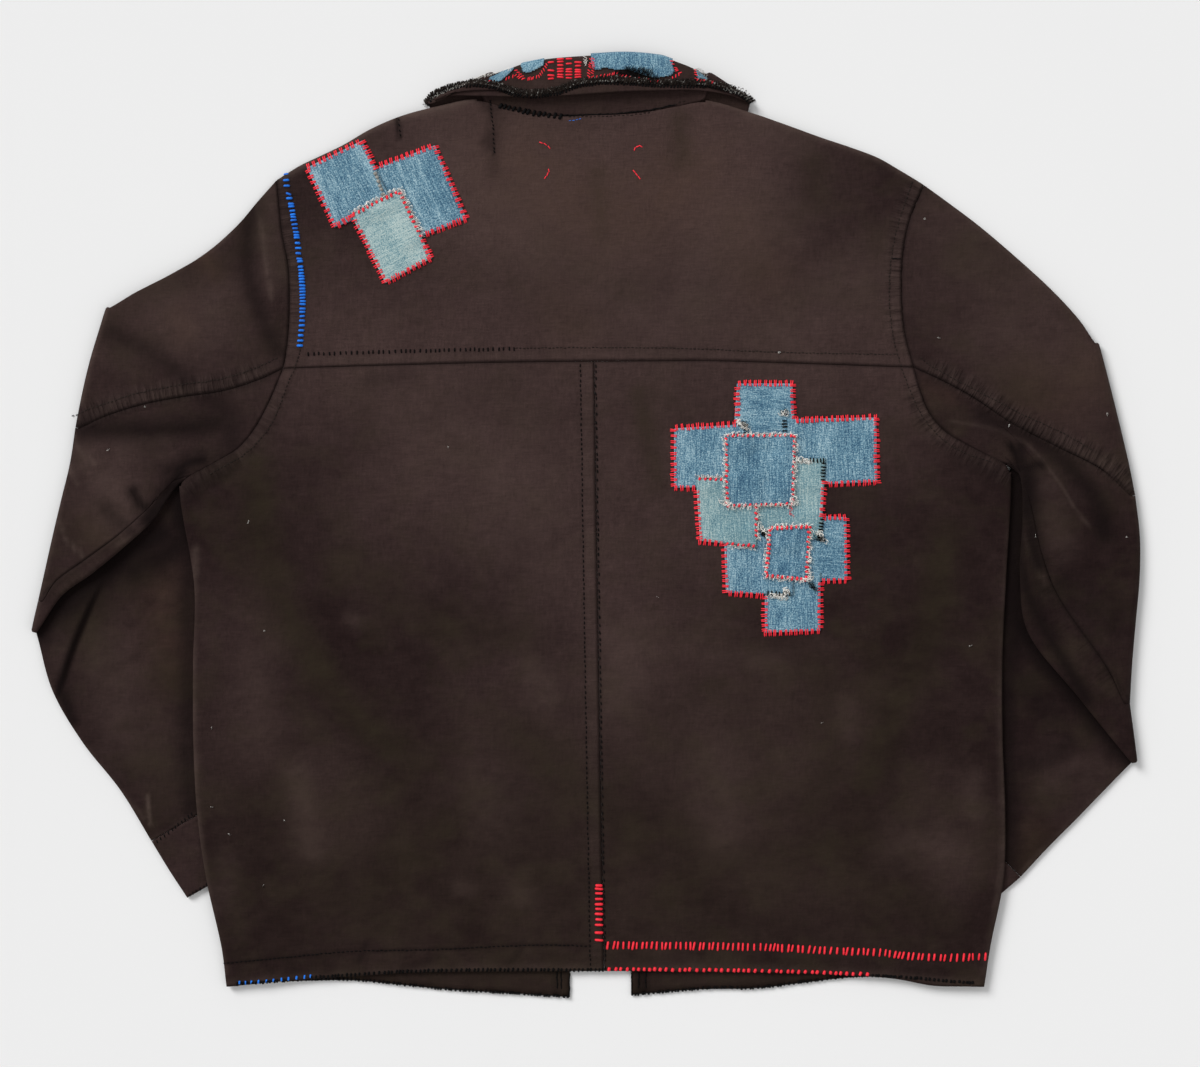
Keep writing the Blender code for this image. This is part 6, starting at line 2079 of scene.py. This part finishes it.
# Each lamp's name, strength, softness in degrees, and where it shines from
LAMPS = (("key", 2.7, 28, (-1, 0.95, 1)), ("fill", 0.35, 60, (1.2, -0.5, 1.6)))
MID_BLUES = ((0.026, 0.088, 0.16), (0.12, 0.258, 0.35), (0.4, 0.56, 0.62))
PALE_BLUES = ((0.085, 0.19, 0.24), (0.215, 0.355, 0.385), (0.47, 0.58, 0.56))
# Each thread's colour, the darker colour between its plies, and its shine
DYES = {
    "red": ((0.95, 0.032, 0.055), (0.74, 0.016, 0.032), 0.3),
    "blue": ((0.01, 0.235, 0.92), (0.01, 0.12, 0.55), 0.3),
    "black": ((0.005, 0.0045, 0.0048), (0.0025, 0.0025, 0.0025), 0.05),
    "brown": ((0.026, 0.018, 0.014), (0.01, 0.007, 0.006), 0.1),
    "grey": ((0.42, 0.41, 0.38), (0.2, 0.19, 0.17), 0.2),
    "white": ((0.95, 0.94, 0.9), (0.8, 0.78, 0.72), 0.2),
}
finishes = {
    "moleskin": moleskin("moleskin", (0.0146, 0.0072, 0.0070), (0.0685, 0.0412, 0.0378)),
    "collar cloth": moleskin("collar cloth", (0.0165, 0.0086, 0.0082), (0.072, 0.0435, 0.0385)),
}
for name, blues in (("mid denim", MID_BLUES), ("pale denim", PALE_BLUES)):
    finishes[name] = denim(name, *blues)
    finishes[f"{name}, turned"] = denim(f"{name} turned", *blues, across=True)
for name, dye in DYES.items():
    finishes[f"{name} thread"] = thread(f"{name} thread", *dye)
finishes["floor"] = floor_finish()

make_sleeve("left", SLEEVE_LEFT)
make_sleeve("right", SLEEVE_RIGHT)
make_back("left", ARMHOLE_LEFT)
make_back("right", ARMHOLE_RIGHT)
make_yoke()
make_front("left", ARMHOLE_LEFT, SHOULDER_LEFT, FRONT_HEM_LEFT, NECK_FRONT_LEFT)
make_front("right", ARMHOLE_RIGHT, SHOULDER_RIGHT, FRONT_HEM_RIGHT, NECK_FRONT_RIGHT)
make_collar()
make_patches("patch_shoulder", SHOULDER_PATCHES, ["yoke"])
make_patches("patch_back", BACK_PATCHES, ["back_right"])
for number, row in enumerate(COLLAR_PATCHES, 1):
    make_collar_patch(number, *row)

threads = {"bar": model_thread("bar", 6, BAR_RINGS), "dash": model_thread("dash", 6, DASH_RINGS)}
threads.update({f"hair {k}": model_thread(f"hair {k}", 5, rings) for k, rings in enumerate(HAIR_RINGS)})
shapes = bpy.context.evaluated_depsgraph_get()
ground = [BVHTree.FromObject(piece, shapes) for piece in made.values()]
make_stitches()
make_fray()
make_lint()
for shape in threads.values():
    bpy.data.objects.remove(shape)

bpy.ops.mesh.primitive_plane_add(size=8, location=(0, 0, cad_box[0].z - FLOOR_DROP))
floor = bpy.context.object
floor.name = "floor"
floor.data.materials.append(finishes["floor"])

scene = bpy.context.scene
eye = bpy.data.cameras.new("eye")
eye.lens, eye.sensor_width = EYE_LENS, 36
eye.clip_end = 20
camera = bpy.data.objects.new("eye", eye)
camera.location = EYE_PLACE
scene.collection.objects.link(camera)
scene.camera = camera

world = bpy.data.worlds.new("studio")
world.use_nodes = True
world.node_tree.nodes["Background"].inputs["Color"].default_value = (1, 1, 1, 1)
world.node_tree.nodes["Background"].inputs["Strength"].default_value = SKY_STRENGTH
scene.world = world
for name, strength, soft, place in LAMPS:
    lamp = bpy.data.lights.new(name, "SUN")
    lamp.energy, lamp.angle = strength, math.radians(soft)
    light = bpy.data.objects.new(name, lamp)
    light.rotation_euler = (-Vector(place)).to_track_quat("-Z", "Y").to_euler()
    scene.collection.objects.link(light)
scene.view_settings.view_transform = "Standard"
